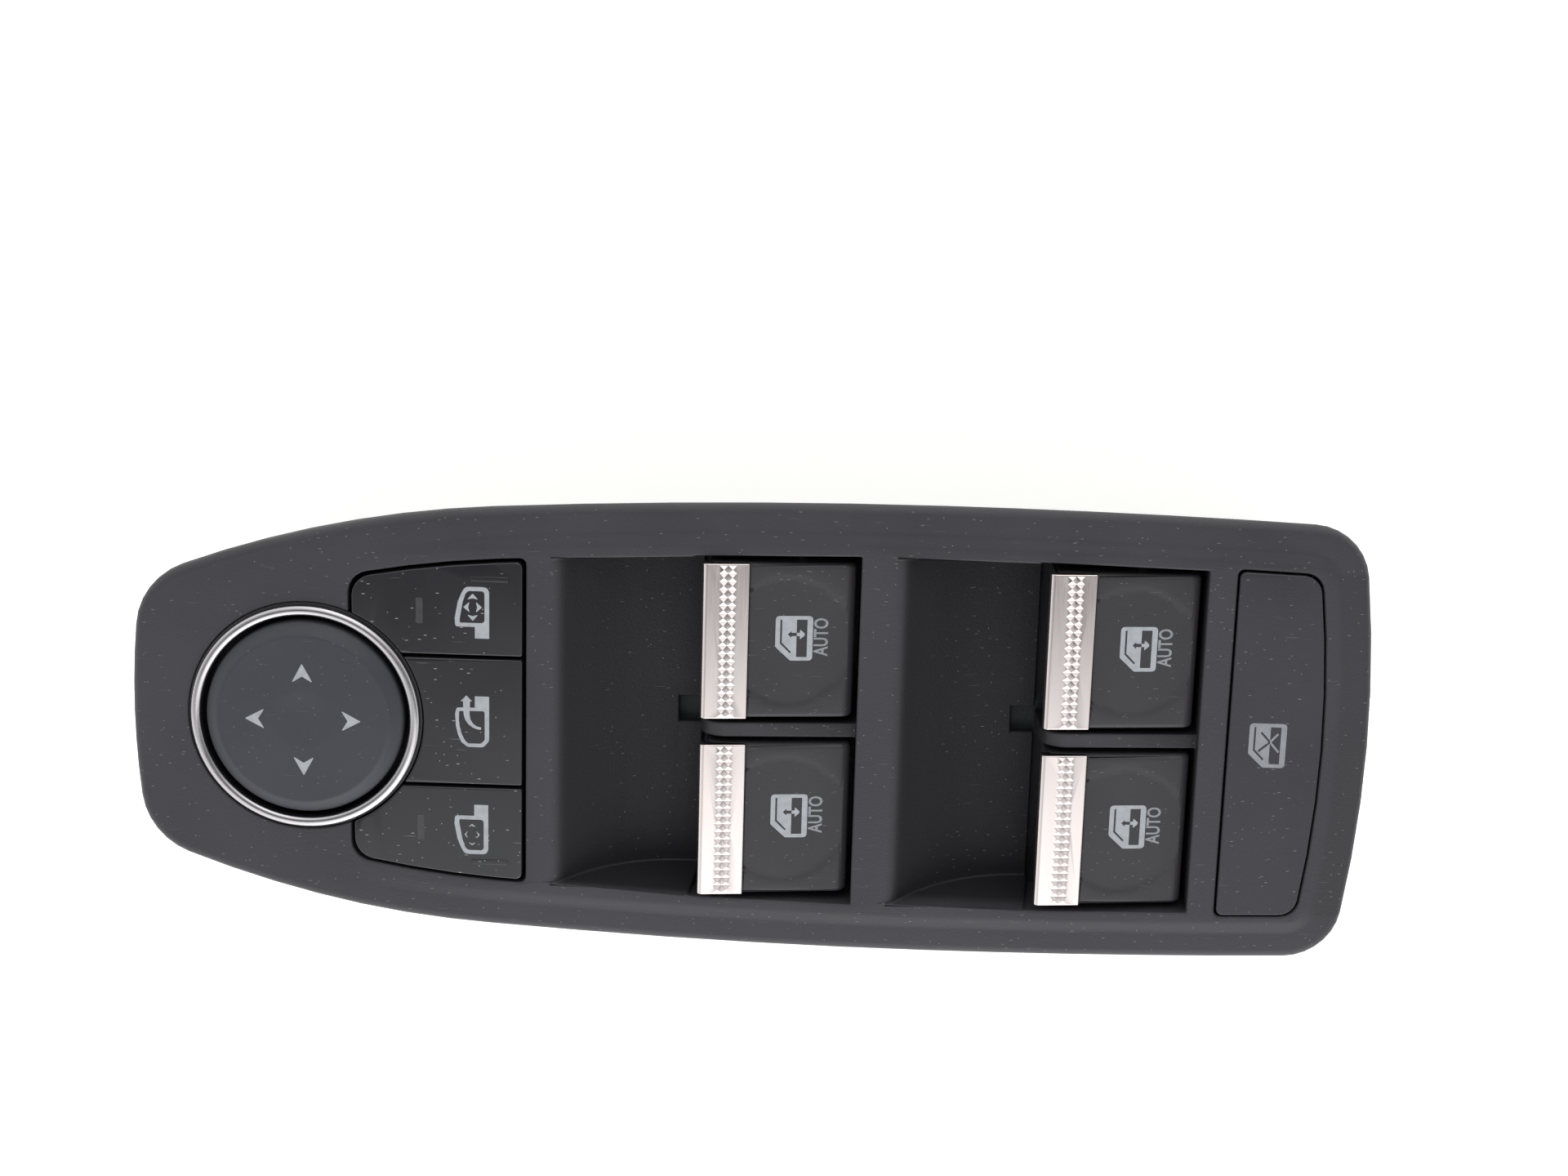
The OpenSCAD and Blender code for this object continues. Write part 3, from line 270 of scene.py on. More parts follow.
def group_node(tree, name, **values):
    maker = {"Moulded Grain": grain_group, "Dust And Scratches": dust_group}[name]
    node = tree.nodes.new("ShaderNodeGroup")
    node.node_tree = bpy.data.node_groups.get(name) or maker()
    for key, value in values.items():
        node.inputs[key].default_value = value
    return node.outputs


# Finishes

def new_finish(name):
    material = bpy.data.materials.get(name)
    if material:
        return material, None, None
    material = bpy.data.materials.new(name)
    material.use_nodes = True
    return material, material.node_tree, material.node_tree.nodes["Principled BSDF"]


def blend_colours(tree, mask, first, second):
    node = add(tree, "ShaderNodeMix", data_type="RGBA")
    for socket, value in ((node.inputs[0], mask), (node.inputs[6], first), (node.inputs[7], second)):
        if isinstance(value, bpy.types.NodeSocket):
            tree.links.new(value, socket)
        else:
            socket.default_value = value
    return node.outputs[2]


def linear(red, green, blue):
    """A colour given as it looks on screen, 0 to 255, as Blender's linear light."""
    def one(v):
        v = v / 255
        return v / 12.92 if v <= 0.04045 else ((v + 0.055) / 1.055) ** 2.4
    return (one(red), one(green), one(blue), 1.0)


def moulded(name, colour, roughness, grain, depth, dust=(0.3, 0.15, 0.1), spread=0.1, shine=0.3, shade=None):
    """Dark moulded plastic with grain and slow mottling, and dust as specks, dashes and scratches.

    shine is how much it reflects. shade makes, from the node tree, a mask of where painted shade darkens the plastic."""
    material, tree, shader = new_finish(name)
    if tree is None:
        return material
    shader.inputs["Specular IOR Level"].default_value = shine
    texture = group_node(tree, "Moulded Grain", Size=grain, Ripple=0.3)
    marks = group_node(tree, "Dust And Scratches", Specks=dust[0], Dashes=dust[1], Scratches=dust[2])
    darker = [c * (1 - spread) for c in colour[:3]] + [1.0]
    lighter = [c * (1 + spread) for c in colour[:3]] + [1.0]
    body = blend_colours(tree, remap(tree, texture["Mottle"], 0.3, 0.7), darker, lighter)
    # Painted shade: where the mask is full, the colour falls to 0.4 of itself
    if shade:
        deep = [c * 0.4 for c in colour[:3]] + [1.0]
        body = blend_colours(tree, shade(tree), body, deep)
    tree.links.new(blend_colours(tree, marks["Mask"], body, linear(168, 168, 166)), shader.inputs["Base Color"])
    sheen = remap(tree, texture["Mottle"], 0.3, 0.7, roughness - 0.04, roughness + 0.04)
    tree.links.new(sheen, shader.inputs["Roughness"])
    bump = add(tree, "ShaderNodeBump", {"Height": texture["Height"], "Strength": depth, "Distance": 0.05 * MM})
    tree.links.new(bump.outputs[0], shader.inputs["Normal"])
    return material


def painted_pocket_shade(tree):
    """Painted shade for deep places: a mask that is full below the face and between the finger pockets' side walls.
    """
    place = add(tree, "ShaderNodeTexCoord").outputs["Object"]
    ways = add(tree, "ShaderNodeSeparateXYZ", {0: place}).outputs
    top = sizes().face_height
    deep = remap(tree, ways["Z"], top - 0.3 * MM, top - 1.8 * MM)
    across = math_node(tree, "ABSOLUTE", ways["Y"])
    inside = remap(tree, across, POCKET_HALF, POCKET_HALF - 0.4 * MM)
    return math_node(tree, "MULTIPLY", deep, inside)


def brushed(name, colour, roughness, line_scale):
    """Satin metal with fine lines along the panel's width."""
    material, tree, shader = new_finish(name)
    if tree is None:
        return material
    place = add(tree, "ShaderNodeTexCoord").outputs["Object"]
    stretch = add(tree, "ShaderNodeMapping", {"Vector": place})
    stretch.inputs["Scale"].default_value = (line_scale, line_scale * 0.02, line_scale)
    lines = add(tree, "ShaderNodeTexNoise", {"Vector": stretch.outputs[0], "Scale": 1.0, "Detail": 4.0})
    shader.inputs["Metallic"].default_value = 1.0
    tone = remap(tree, lines.outputs[0], 0.3, 0.7)
    darker = [c * 0.95 for c in colour[:3]] + [1.0]
    tree.links.new(blend_colours(tree, tone, darker, colour), shader.inputs["Base Color"])
    sheen = remap(tree, lines.outputs[0], 0.3, 0.7, roughness - 0.03, roughness + 0.03)
    tree.links.new(sheen, shader.inputs["Roughness"])
    bump = add(tree, "ShaderNodeBump", {"Height": lines.outputs[0], "Strength": 0.1, "Distance": 0.01 * MM})
    tree.links.new(bump.outputs[0], shader.inputs["Normal"])
    return material


def plain_finish(name, colour, roughness, metallic=0.0, clear=0.0, mottle=0.08, scale=300.0):
    """A finish for small and inner pieces: colour and gloss that wander slightly."""
    material, tree, shader = new_finish(name)
    if tree is None:
        return material
    place = add(tree, "ShaderNodeTexCoord").outputs["Object"]
    noise = add(tree, "ShaderNodeTexNoise", {"Vector": place, "Scale": scale, "Detail": 4.0})
    tone = remap(tree, noise.outputs[0], 0.3, 0.7)
    darker = [c * (1 - mottle) for c in colour[:3]] + [1.0]
    lighter = [min(1.0, c * (1 + mottle)) for c in colour[:3]] + [1.0]
    tree.links.new(blend_colours(tree, tone, darker, lighter), shader.inputs["Base Color"])
    sheen = remap(tree, noise.outputs[0], 0.3, 0.7, roughness - 0.04, roughness + 0.04)
    tree.links.new(sheen, shader.inputs["Roughness"])
    shader.inputs["Metallic"].default_value = metallic
    shader.inputs["Transmission Weight"].default_value = clear
    bump = add(tree, "ShaderNodeBump", {"Height": noise.outputs[0], "Strength": 0.15, "Distance": 0.02 * MM})
    tree.links.new(bump.outputs[0], shader.inputs["Normal"])
    return material


def colours():
    return bpy.context.scene.switch_panel_colours


def sizes():
    return bpy.context.scene.switch_panel_sizes


def rgba(colour):
    return (*colour, 1.0)


def panel_finish():
    # The bezel's plastic is darkened by painted shade in its deep places
    return moulded(
        "Bezel Plastic", rgba(colours().bezel), 0.52, 0.28, 0.6, (0.5, 0.3, 0.2), shine=0.34, shade=painted_pocket_shade,
    )


def button_finish():
    return moulded("Button Plastic", rgba(colours().button), 0.17, 0.2, 0.1, (0.9, 0.9, 0.6), shine=0.5)


def lock_finish():
    return moulded("Lock Button Plastic", rgba(colours().lock), 0.38, 0.24, 0.3, (0.4, 0.4, 0.4))


def pad_finish():
    return moulded("Pad Plastic", rgba(colours().pad), 0.46, 0.2, 0.4, (0.4, 0.15, 0.15))


def rocker_finish():
    return moulded("Rocker Plastic", rgba(colours().rocker), 0.38, 0.2, 0.3, (0.4, 0.25, 0.25))


def lip_finish():
    return brushed("Satin Aluminium", rgba(colours().lip), 0.2, 9000.0)


def ring_finish():
    """Satin chrome above the face, and below it a near-black, non-metal colour: painted shade in the gaps beside the
    ring.
    """
    material, tree, shader = new_finish("Satin Chrome")
    if tree is None:
        return material
    place = add(tree, "ShaderNodeTexCoord").outputs["Object"]
    height = add(tree, "ShaderNodeSeparateXYZ", {0: place}).outputs["Z"]
    edge = sizes().face_height
    # Below the face the ring is painted shade: near black and not metal, so the gaps beside it look dark
    plated = remap(tree, height, edge + 0.02 * MM, edge + 0.08 * MM)
    haze = add(tree, "ShaderNodeTexNoise", {"Vector": place, "Scale": 500.0, "Detail": 4.0})
    bright = blend_colours(tree, haze.outputs[0], [c * 0.92 for c in colours().ring] + [1.0], rgba(colours().ring))
    tree.links.new(blend_colours(tree, plated, linear(30, 30, 32), bright), shader.inputs["Base Color"])
    tree.links.new(plated, shader.inputs["Metallic"])
    tree.links.new(remap(tree, haze.outputs[0], 0.3, 0.7, 0.22, 0.28), shader.inputs["Roughness"])
    bump = add(tree, "ShaderNodeBump", {"Height": haze.outputs[0], "Strength": 0.08, "Distance": 0.01 * MM})
    tree.links.new(bump.outputs[0], shader.inputs["Normal"])
    return material


def print_finish():
    return plain_finish("Light Print", rgba(colours().print_light), 0.5, mottle=0.1, scale=900.0)


def faint_print_finish():
    return plain_finish("Faint Print", rgba(colours().print_faint), 0.5, mottle=0.1, scale=900.0)


def unlit_finish():
    return plain_finish("Unlit Lens", rgba(colours().print_unlit), 0.3, mottle=0.1, scale=900.0)


# Flat shapes for printed symbols, drawn in millimetres as they lie on the panel

def round_loop(points, radius, steps=5):
    """The closed outline through these corners, each rounded to the radius or to its own third value."""
    loop = []
    count = len(points)
    for i, corner in enumerate(points):
        here = Vector(corner[:2])
        r = corner[2] if len(corner) > 2 else radius
        before = Vector(points[i - 1][:2]) - here
        after = Vector(points[(i + 1) % count][:2]) - here
        turn = before.angle(after)
        if r <= 0 or turn > 3.1:
            loop.append(here)
            continue
        cut = min(r / math.tan(turn / 2), 0.49 * before.length, 0.49 * after.length)
        start = here + before.normalized() * cut
        end = here + after.normalized() * cut
        for k in range(steps + 1):
            t = k / steps
            loop.append((1 - t) ** 2 * start + 2 * t * (1 - t) * here + t * t * end)
    return loop


def moved(loop, x, y):
    """The same outline moved along the panel by x and across it by y."""
    return [Vector((p[0] + x, p[1] + y)) for p in loop]


def symbol(name, loops, height, thickness=PRINT_T):
    """Loops filled by the even-odd rule, as a thin closed solid that lies on the surface that height gives."""
    curve = bpy.data.curves.new(name, "CURVE")
    curve.dimensions = "2D"
    curve.fill_mode = "BOTH"
    curve.extrude = thickness / 2
    for loop in loops:
        spline = curve.splines.new("POLY")
        spline.points.add(len(loop) - 1)
        for point, place in zip(spline.points, loop):
            point.co = (place[0] * MM, place[1] * MM, 0.0, 1.0)
        spline.use_cyclic_u = True
    piece = bpy.data.objects.new(name, curve)
    bpy.context.scene.collection.objects.link(piece)
    work_on(piece)
    bpy.ops.object.convert(target="MESH")
    return lay_on(piece, height, thickness)


def lay_on(piece, height, thickness):
    """Merges a flat solid and lays it on a surface, a third of its thickness sunk in."""
    begin_edit(piece)
    bpy.ops.mesh.remove_doubles(threshold=0.0005 * MM)
    bpy.ops.mesh.normals_make_consistent(inside=False)
    end_edit()
    for v in piece.data.vertices:
        v.co.z += height(v.co.x, v.co.y) + thickness / 6
    piece.data.update()
    return piece


def lettering(name, text, cap_height, length, place, turn, height, thickness=PRINT_T):
    """Plain capitals of the given height and length, turned about their middle."""
    bpy.ops.object.select_all(action="DESELECT")
    bpy.ops.object.text_add()
    piece = bpy.context.object
    piece.name = name
    piece.data.body = text
    piece.data.align_x = "CENTER"
    piece.data.align_y = "CENTER"
    piece.data.extrude = 0.5
    piece.data.offset = 0.02
    piece.data.resolution_u = 3
    work_on(piece)
    bpy.ops.object.convert(target="MESH")
    spans = [[v.co[k] for v in piece.data.vertices] for k in (0, 1)]
    across, up = (max(s) - min(s) for s in spans)
    middle = [(max(s) + min(s)) / 2 for s in spans]
    for v in piece.data.vertices:
        u = (v.co.x - middle[0]) * length / across
        w = (v.co.y - middle[1]) * cap_height / up
        v.co = (
            (place[0] + u * math.cos(turn) - w * math.sin(turn)) * MM,
            (place[1] + u * math.sin(turn) + w * math.cos(turn)) * MM,
            v.co.z * thickness,
        )
    return lay_on(piece, height, thickness)


# Places, read from the frame

def rocker_place(pair, side):
    """The front edge of a rocker's lip and the middle of its width, in millimetres."""
    low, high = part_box(f"lip_{pair}_{side}")
    return low.x / MM, (low.y + high.y) / 2 / MM


def rocker_top(x0):
    """Height of the bottom of the thumb dish in a rocker's sloping top, at a place along the panel."""
    slope = math.radians(sizes().rocker_slope_degrees)
    start = x0 * MM + sizes().rocker_slope_start
    high = sizes().face_height + sizes().rocker_rise - sizes().thumb_dish_depth / math.cos(slope)
    return lambda x, y: high - (x - start) * math.tan(slope)


def button_top():
    """Height of the buttons' flat tops."""
    return lambda x, y: sizes().face_height + sizes().button_rise


def pad_middle():
    low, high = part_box("mirror_pad")
    return (low.x + high.x) / 2 / MM, (low.y + high.y) / 2 / MM


def pad_top(x, y):
    """Height of the pad's shallow dished top."""
    cx, cy = pad_middle()
    out2 = (x - cx * MM) ** 2 + (y - cy * MM) ** 2
    r = sizes().pad_dish_radius
    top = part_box("mirror_pad")[1].z - sizes().print_room
    return min(top, top - sizes().pad_dish_depth + r - math.sqrt(r * r - out2))


class SwitchPanelSizes(bpy.types.PropertyGroup):
    face_height: bpy.props.FloatProperty(
        name="Face height", description="Height of the panel's face above its underside",
        default=FACE_Z, unit="LENGTH",
    )
    edge_radius: bpy.props.FloatProperty(
        name="Moulded edge", description="Radius of the moulded edges of the bezel",
        default=0.35 * MM, unit="LENGTH",
    )
    button_edge: bpy.props.FloatProperty(
        name="Button edge", description="Radius of the buttons' and rockers' edges",
        default=0.3 * MM, unit="LENGTH",
    )
    button_rise: bpy.props.FloatProperty(
        name="Button rise", description="Height of the buttons above the face",
        default=0.3 * MM, unit="LENGTH",
    )
    ridge_rise: bpy.props.FloatProperty(
        name="Ridge rise", description="Height of the soft touch ridges on the mirror buttons",
        default=0.16 * MM, unit="LENGTH",
    )
    rocker_rise: bpy.props.FloatProperty(
        name="Rocker rise", description="Height of a rocker's top where its slope starts, above the face",
        default=0.5 * MM, unit="LENGTH",
    )
    rocker_slope_start: bpy.props.FloatProperty(
        name="Slope start", description="Distance from a lip's front to where the rocker's slope starts",
        default=6.6 * MM, unit="LENGTH",
    )
    rocker_slope_degrees: bpy.props.FloatProperty(
        name="Rocker slope", description="Slope of a rocker's top, in degrees", default=7.0,
    )
    rocker_length: bpy.props.FloatProperty(
        name="Rocker length", description="Length of a rocker from its lip's front to its rear",
        default=24.05 * MM, unit="LENGTH",
    )
    rocker_end: bpy.props.FloatProperty(
        name="Rocker end", description="Length of the rounded rear end of a rocker",
        default=2.3 * MM, unit="LENGTH",
    )
    rocker_reach: bpy.props.FloatProperty(
        name="Rocker reach", description="How far a moulded rocker's rear stands out beyond its solid",
        default=0.5 * MM, unit="LENGTH",
    )
    thumb_dish_depth: bpy.props.FloatProperty(
        name="Thumb dish depth", description="Depth of the dish in a rocker's top", default=0.15 * MM, unit="LENGTH",
    )
    apron: bpy.props.FloatProperty(
        name="Pocket apron", description="How far a pocket's floor reaches on under the lips",
        default=1.3 * MM, unit="LENGTH",
    )
    lock_spread: bpy.props.FloatProperty(
        name="Lock spread", description="How much wider each side of the moulded lock button is than its solid",
        default=0.28 * MM, unit="LENGTH",
    )
    ring_crown: bpy.props.FloatProperty(
        name="Ring crown", description="Height of the ring's rounded top", default=0.55 * MM, unit="LENGTH",
    )
    collar_width: bpy.props.FloatProperty(
        name="Collar width", description="Width of the moulded collar round the ring's foot",
        default=0.5 * MM, unit="LENGTH",
    )
    collar_height: bpy.props.FloatProperty(
        name="Collar height", description="Height of that collar", default=0.5 * MM, unit="LENGTH",
    )
    shelf_inner: bpy.props.FloatProperty(
        name="Shelf inside", description="Inner radius of the shelf below the mirror pad's edge",
        default=13.5 * MM, unit="LENGTH",
    )
    shelf_drop: bpy.props.FloatProperty(
        name="Shelf drop", description="How far that shelf's foot lies below the ring's foot",
        default=0.8 * MM, unit="LENGTH",
    )
    print_room: bpy.props.FloatProperty(
        name="Print room", description="How much lower the moulded mirror pad's top is than its solid's",
        default=0.03 * MM, unit="LENGTH",
    )
    pad_dish_radius: bpy.props.FloatProperty(
        name="Pad dish radius", description="Radius of the pad's dished top", default=60 * MM, unit="LENGTH",
    )
    pad_dish_depth: bpy.props.FloatProperty(
        name="Pad dish depth", description="Depth of the pad's dished top", default=0.25 * MM, unit="LENGTH",
    )


def colour_property(label, note, value):
    return bpy.props.FloatVectorProperty(
        name=label, description=note, default=value[:3], size=3, subtype="COLOR", min=0.0, max=1.0,
    )


class SwitchPanelColours(bpy.types.PropertyGroup):
    bezel: colour_property("Bezel", "Colour of the charcoal bezel", linear(55, 54, 58))
    button: colour_property("Mirror buttons", "Colour of the mirror buttons", linear(33, 32, 36))
    lock: colour_property("Lock button", "Colour of the window lock button", linear(52, 51, 56))
    pad: colour_property("Mirror pad", "Colour of the mirror pad", linear(59, 59, 64))
    rocker: colour_property("Rockers", "Colour of the window rockers", linear(54, 52, 54))
    lip: colour_property("Lips", "Colour of the aluminium lips", linear(216, 206, 202))
    ring: colour_property("Ring", "Colour of the bright ring", linear(190, 187, 188))
    print_light: colour_property("Symbols", "Colour of the printed symbols", linear(158, 161, 165))
    print_faint: colour_property("Lettering", "Colour of the fainter prints", linear(134, 135, 139))
    print_unlit: colour_property("Unlit lenses", "Colour of the unlit indicator lenses", linear(56, 55, 58))
    floor: colour_property("Floor", "Colour of the pale floor", linear(252, 251, 247))


# Stage

class SWITCHPANEL_OT_stage(bpy.types.Operator):
    """Add the camera, the pale floor and the soft studio light"""
    bl_idname = "switch_panel.stage"
    bl_label = "Stage"

    def execute(self, context):
        self.camera(context)
        self.floor()
        self.lights(context)
        return {"FINISHED"}

    def camera(self, context):
        bpy.ops.object.camera_add()
        camera = bpy.context.object
        camera.name = "Camera"
        camera.data.sensor_width = SENSOR_WIDTH
        camera.data.lens = CAMERA_LENS
        camera.data.clip_start = 0.01
        turn = Matrix.Identity(4)
        for degrees, axis in zip(CAMERA_TURN, "XYZ"):
            turn = turn @ Matrix.Rotation(math.radians(degrees), 4, axis)
        camera.matrix_world = Matrix.Translation(CAMERA_PLACE) @ turn
        context.scene.camera = camera

    def floor(self):
        bpy.ops.mesh.primitive_plane_add(size=8.0, location=(0.0, 0.0, 0.0))
        floor = bpy.context.object
        floor.name = "Floor"
        begin_edit(floor)
        bpy.ops.mesh.subdivide(number_cuts=3)
        end_edit()
        pale = plain_finish("Pale Floor", rgba(colours().floor), 0.7, mottle=0.01, scale=8.0)
        glow = pale.node_tree.nodes["Principled BSDF"].inputs
        glow["Emission Color"].default_value = rgba(colours().floor)
        glow["Emission Strength"].default_value = FLOOR_GLOW
        floor.data.materials.append(pale)

    def lights(self, context):
        world = bpy.data.worlds.new("Studio")
        world.use_nodes = True
        tree = world.node_tree
        way = add(tree, "ShaderNodeTexCoord").outputs["Generated"]
        ways = add(tree, "ShaderNodeSeparateXYZ", {0: way}).outputs
        over = self.ramp(tree, ways["Y"], STUDIO_LIGHT)
        share = self.ramp(tree, ways["X"], STUDIO_SHARE)
        ends = self.ramp(tree, ways["X"], STUDIO_ENDS)
        level = math_node(tree, "MULTIPLY_ADD", over, share, ends)
        light = blend_colours(tree, level, (0.0, 0.0, 0.0, 1.0), (*STUDIO_TINT, 1.0))
        tree.links.new(light, tree.nodes["Background"].inputs["Color"])
        tree.nodes["Background"].inputs["Strength"].default_value = STUDIO_STRENGTH
        context.scene.world = world
        context.scene.view_settings.view_transform = "Standard"

    def ramp(self, tree, place, levels):
        """Brightness along one way through the studio, from -1 to 1."""
        node = add(tree, "ShaderNodeValToRGB", {0: remap(tree, place, -1.0, 1.0)})
        points = node.color_ramp.elements
        for _ in levels[2:]:
            points.new(0.5)
        for point, (where, level) in zip(points, levels):
            point.position = (where + 1) / 2
            point.color = (level, level, level, 1.0)
        return node.outputs[0]


# Mouldings

class SWITCHPANEL_OT_bezel(bpy.types.Operator):
    """Add the bezel with its moulded edges"""
    bl_idname = "switch_panel.bezel"
    bl_label = "Bezel"

    def execute(self, context):
        piece = soft_edged("bezel", "bezel_moulding", [(sizes().edge_radius, 3, 32)], self.reach_under_lips)
        give(piece, panel_finish(), "panel", "panel_plastic", "bezel")
        return {"FINISHED"}

    def reach_under_lips(self, piece):
        """Draws the ends of both pocket floors on towards the rockers, as an apron below the lips."""
        for pair in ("front", "rear"):
            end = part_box(f"lip_{pair}_left")[0].x - FLOOR_GAP
            select_verts(piece, lambda co: abs(co.x - end) < 0.03 * MM and co.z < FLOOR_END_Z and abs(co.y) < POCKET_HALF)
            bpy.ops.transform.translate(value=(sizes().apron, 0.0, 0.0))


class SWITCHPANEL_OT_buttons(bpy.types.Operator):
    """Add the three mirror buttons and the window lock button"""
    bl_idname = "switch_panel.buttons"
    bl_label = "Buttons"

    def execute(self, context):
        edges = [(sizes().button_edge, 2, 32)]
        for node in ("mirror_left_button", "mirror_fold_button", "mirror_right_button"):
            ridge = self.ridge_box(node)
            piece = soft_edged(node, f"{node}_cap", edges, self.level_top if ridge else None)
            give(piece, button_finish(), node, "button_plastic", node)
            if ridge:
                self.touch_ridge(node, *ridge)
        piece = soft_edged("window_lock_button", "window_lock_button_cap", edges, self.fill_well)
        give(piece, lock_finish(), "window_lock_button", "button_plastic", "window_lock_button")
        return {"FINISHED"}

    def ridge_box(self, node):
        """The lowest and highest corners of a button's raised touch ridge, or None."""
        top = sizes().face_height + sizes().button_rise
        raised = [v.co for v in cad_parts[node].data.vertices if v.co.z > top + RIDGE_SENSE]
        if not raised:
            return None
        return [Vector(pick(co[k] for co in raised) for k in range(3)) for pick in (min, max)]

    def level_top(self, piece):
        """Takes the ridge off the cap's top and closes the top again."""
        top = sizes().face_height + sizes().button_rise
        select_verts(piece, lambda co: co.z > top + RIDGE_SENSE)
        bpy.ops.mesh.delete(type="VERT")
        bpy.ops.mesh.select_mode(type="EDGE")
        bpy.ops.mesh.select_all(action="DESELECT")
        bpy.ops.mesh.select_non_manifold()
        bpy.ops.mesh.edge_face_add()
        bpy.ops.mesh.select_all(action="SELECT")
        bpy.ops.mesh.dissolve_limited(angle_limit=FLAT)

    def touch_ridge(self, node, low, high):
        """A soft low bar in the ridge's place, with its foot sunk in the cap."""
        rise = sizes().ridge_rise
        size, middle = high - low, (low + high) / 2
        top = sizes().face_height + sizes().button_rise
        bpy.ops.object.select_all(action="DESELECT")
        bpy.ops.mesh.primitive_cube_add(size=1.0, location=(middle.x, middle.y, top))
        piece = bpy.context.object
        piece.name = f"{node}_ridge"
        piece.scale = (size.x, size.y, 2 * rise)
        settle(piece)
        apply_modifier(piece, "BEVEL", "Soft bar", width=rise * 0.95, segments=4, use_clamp_overlap=True)
        smooth(piece, 60)
        give(piece, button_finish(), node, "button_plastic")

    def fill_well(self, piece):
        """Spreads the lock button's cap, so that only a fine gap is left round it."""
        low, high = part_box("window_lock_button")
        size, middle = high - low, (low + high) / 2
        select_verts(piece, lambda co: co.z > LOCK_CAP_Z)
        spread = 2 * sizes().lock_spread
        bpy.ops.transform.resize(value=(1 + spread / size.x, 1 + spread / size.y, 1.0), center_override=middle)


class SWITCHPANEL_OT_rockers(bpy.types.Operator):
    """Add the four window rockers"""
    bl_idname = "switch_panel.rockers"
    bl_label = "Window rockers"

    def execute(self, context):
        for pair, side in ROCKERS:
            node = f"rocker_{pair}_{side}"
            piece = soft_edged(
                node, f"{node}_cap", [(sizes().button_edge, 2, 32)], lambda cap: self.draw_on(cap, pair, side),
            )
            give(piece, rocker_finish(), node, "rocker_plastic", node)
        return {"FINISHED"}

    def draw_on(self, piece, pair, side):
        """Draws the rear end on along the rocker's slope, which keeps its top and its dish flat."""
        x0 = rocker_place(pair, side)[0] * MM
        slope = math.radians(sizes().rocker_slope_degrees)
        rear = x0 + sizes().rocker_length
        select_verts(piece, lambda co: co.x > rear - sizes().rocker_end)
        reach = sizes().rocker_reach
        bpy.ops.transform.translate(value=(reach * math.cos(slope), 0.0, -reach * math.sin(slope)))


class SWITCHPANEL_OT_lips(bpy.types.Operator):
    """Add the knurled aluminium lips"""
    bl_idname = "switch_panel.lips"
    bl_label = "Metal lips"

    def execute(self, context):
        for pair, side in ROCKERS:
            edges = [(0.16 * MM, 3, 70), (0.035 * MM, 2, 32)]
            piece = soft_edged(f"lip_{pair}_{side}", f"lip_{pair}_{side}_trim", edges)
            give(piece, lip_finish(), f"rocker_{pair}_{side}", "lip_metal", f"lip_{pair}_{side}")
        return {"FINISHED"}


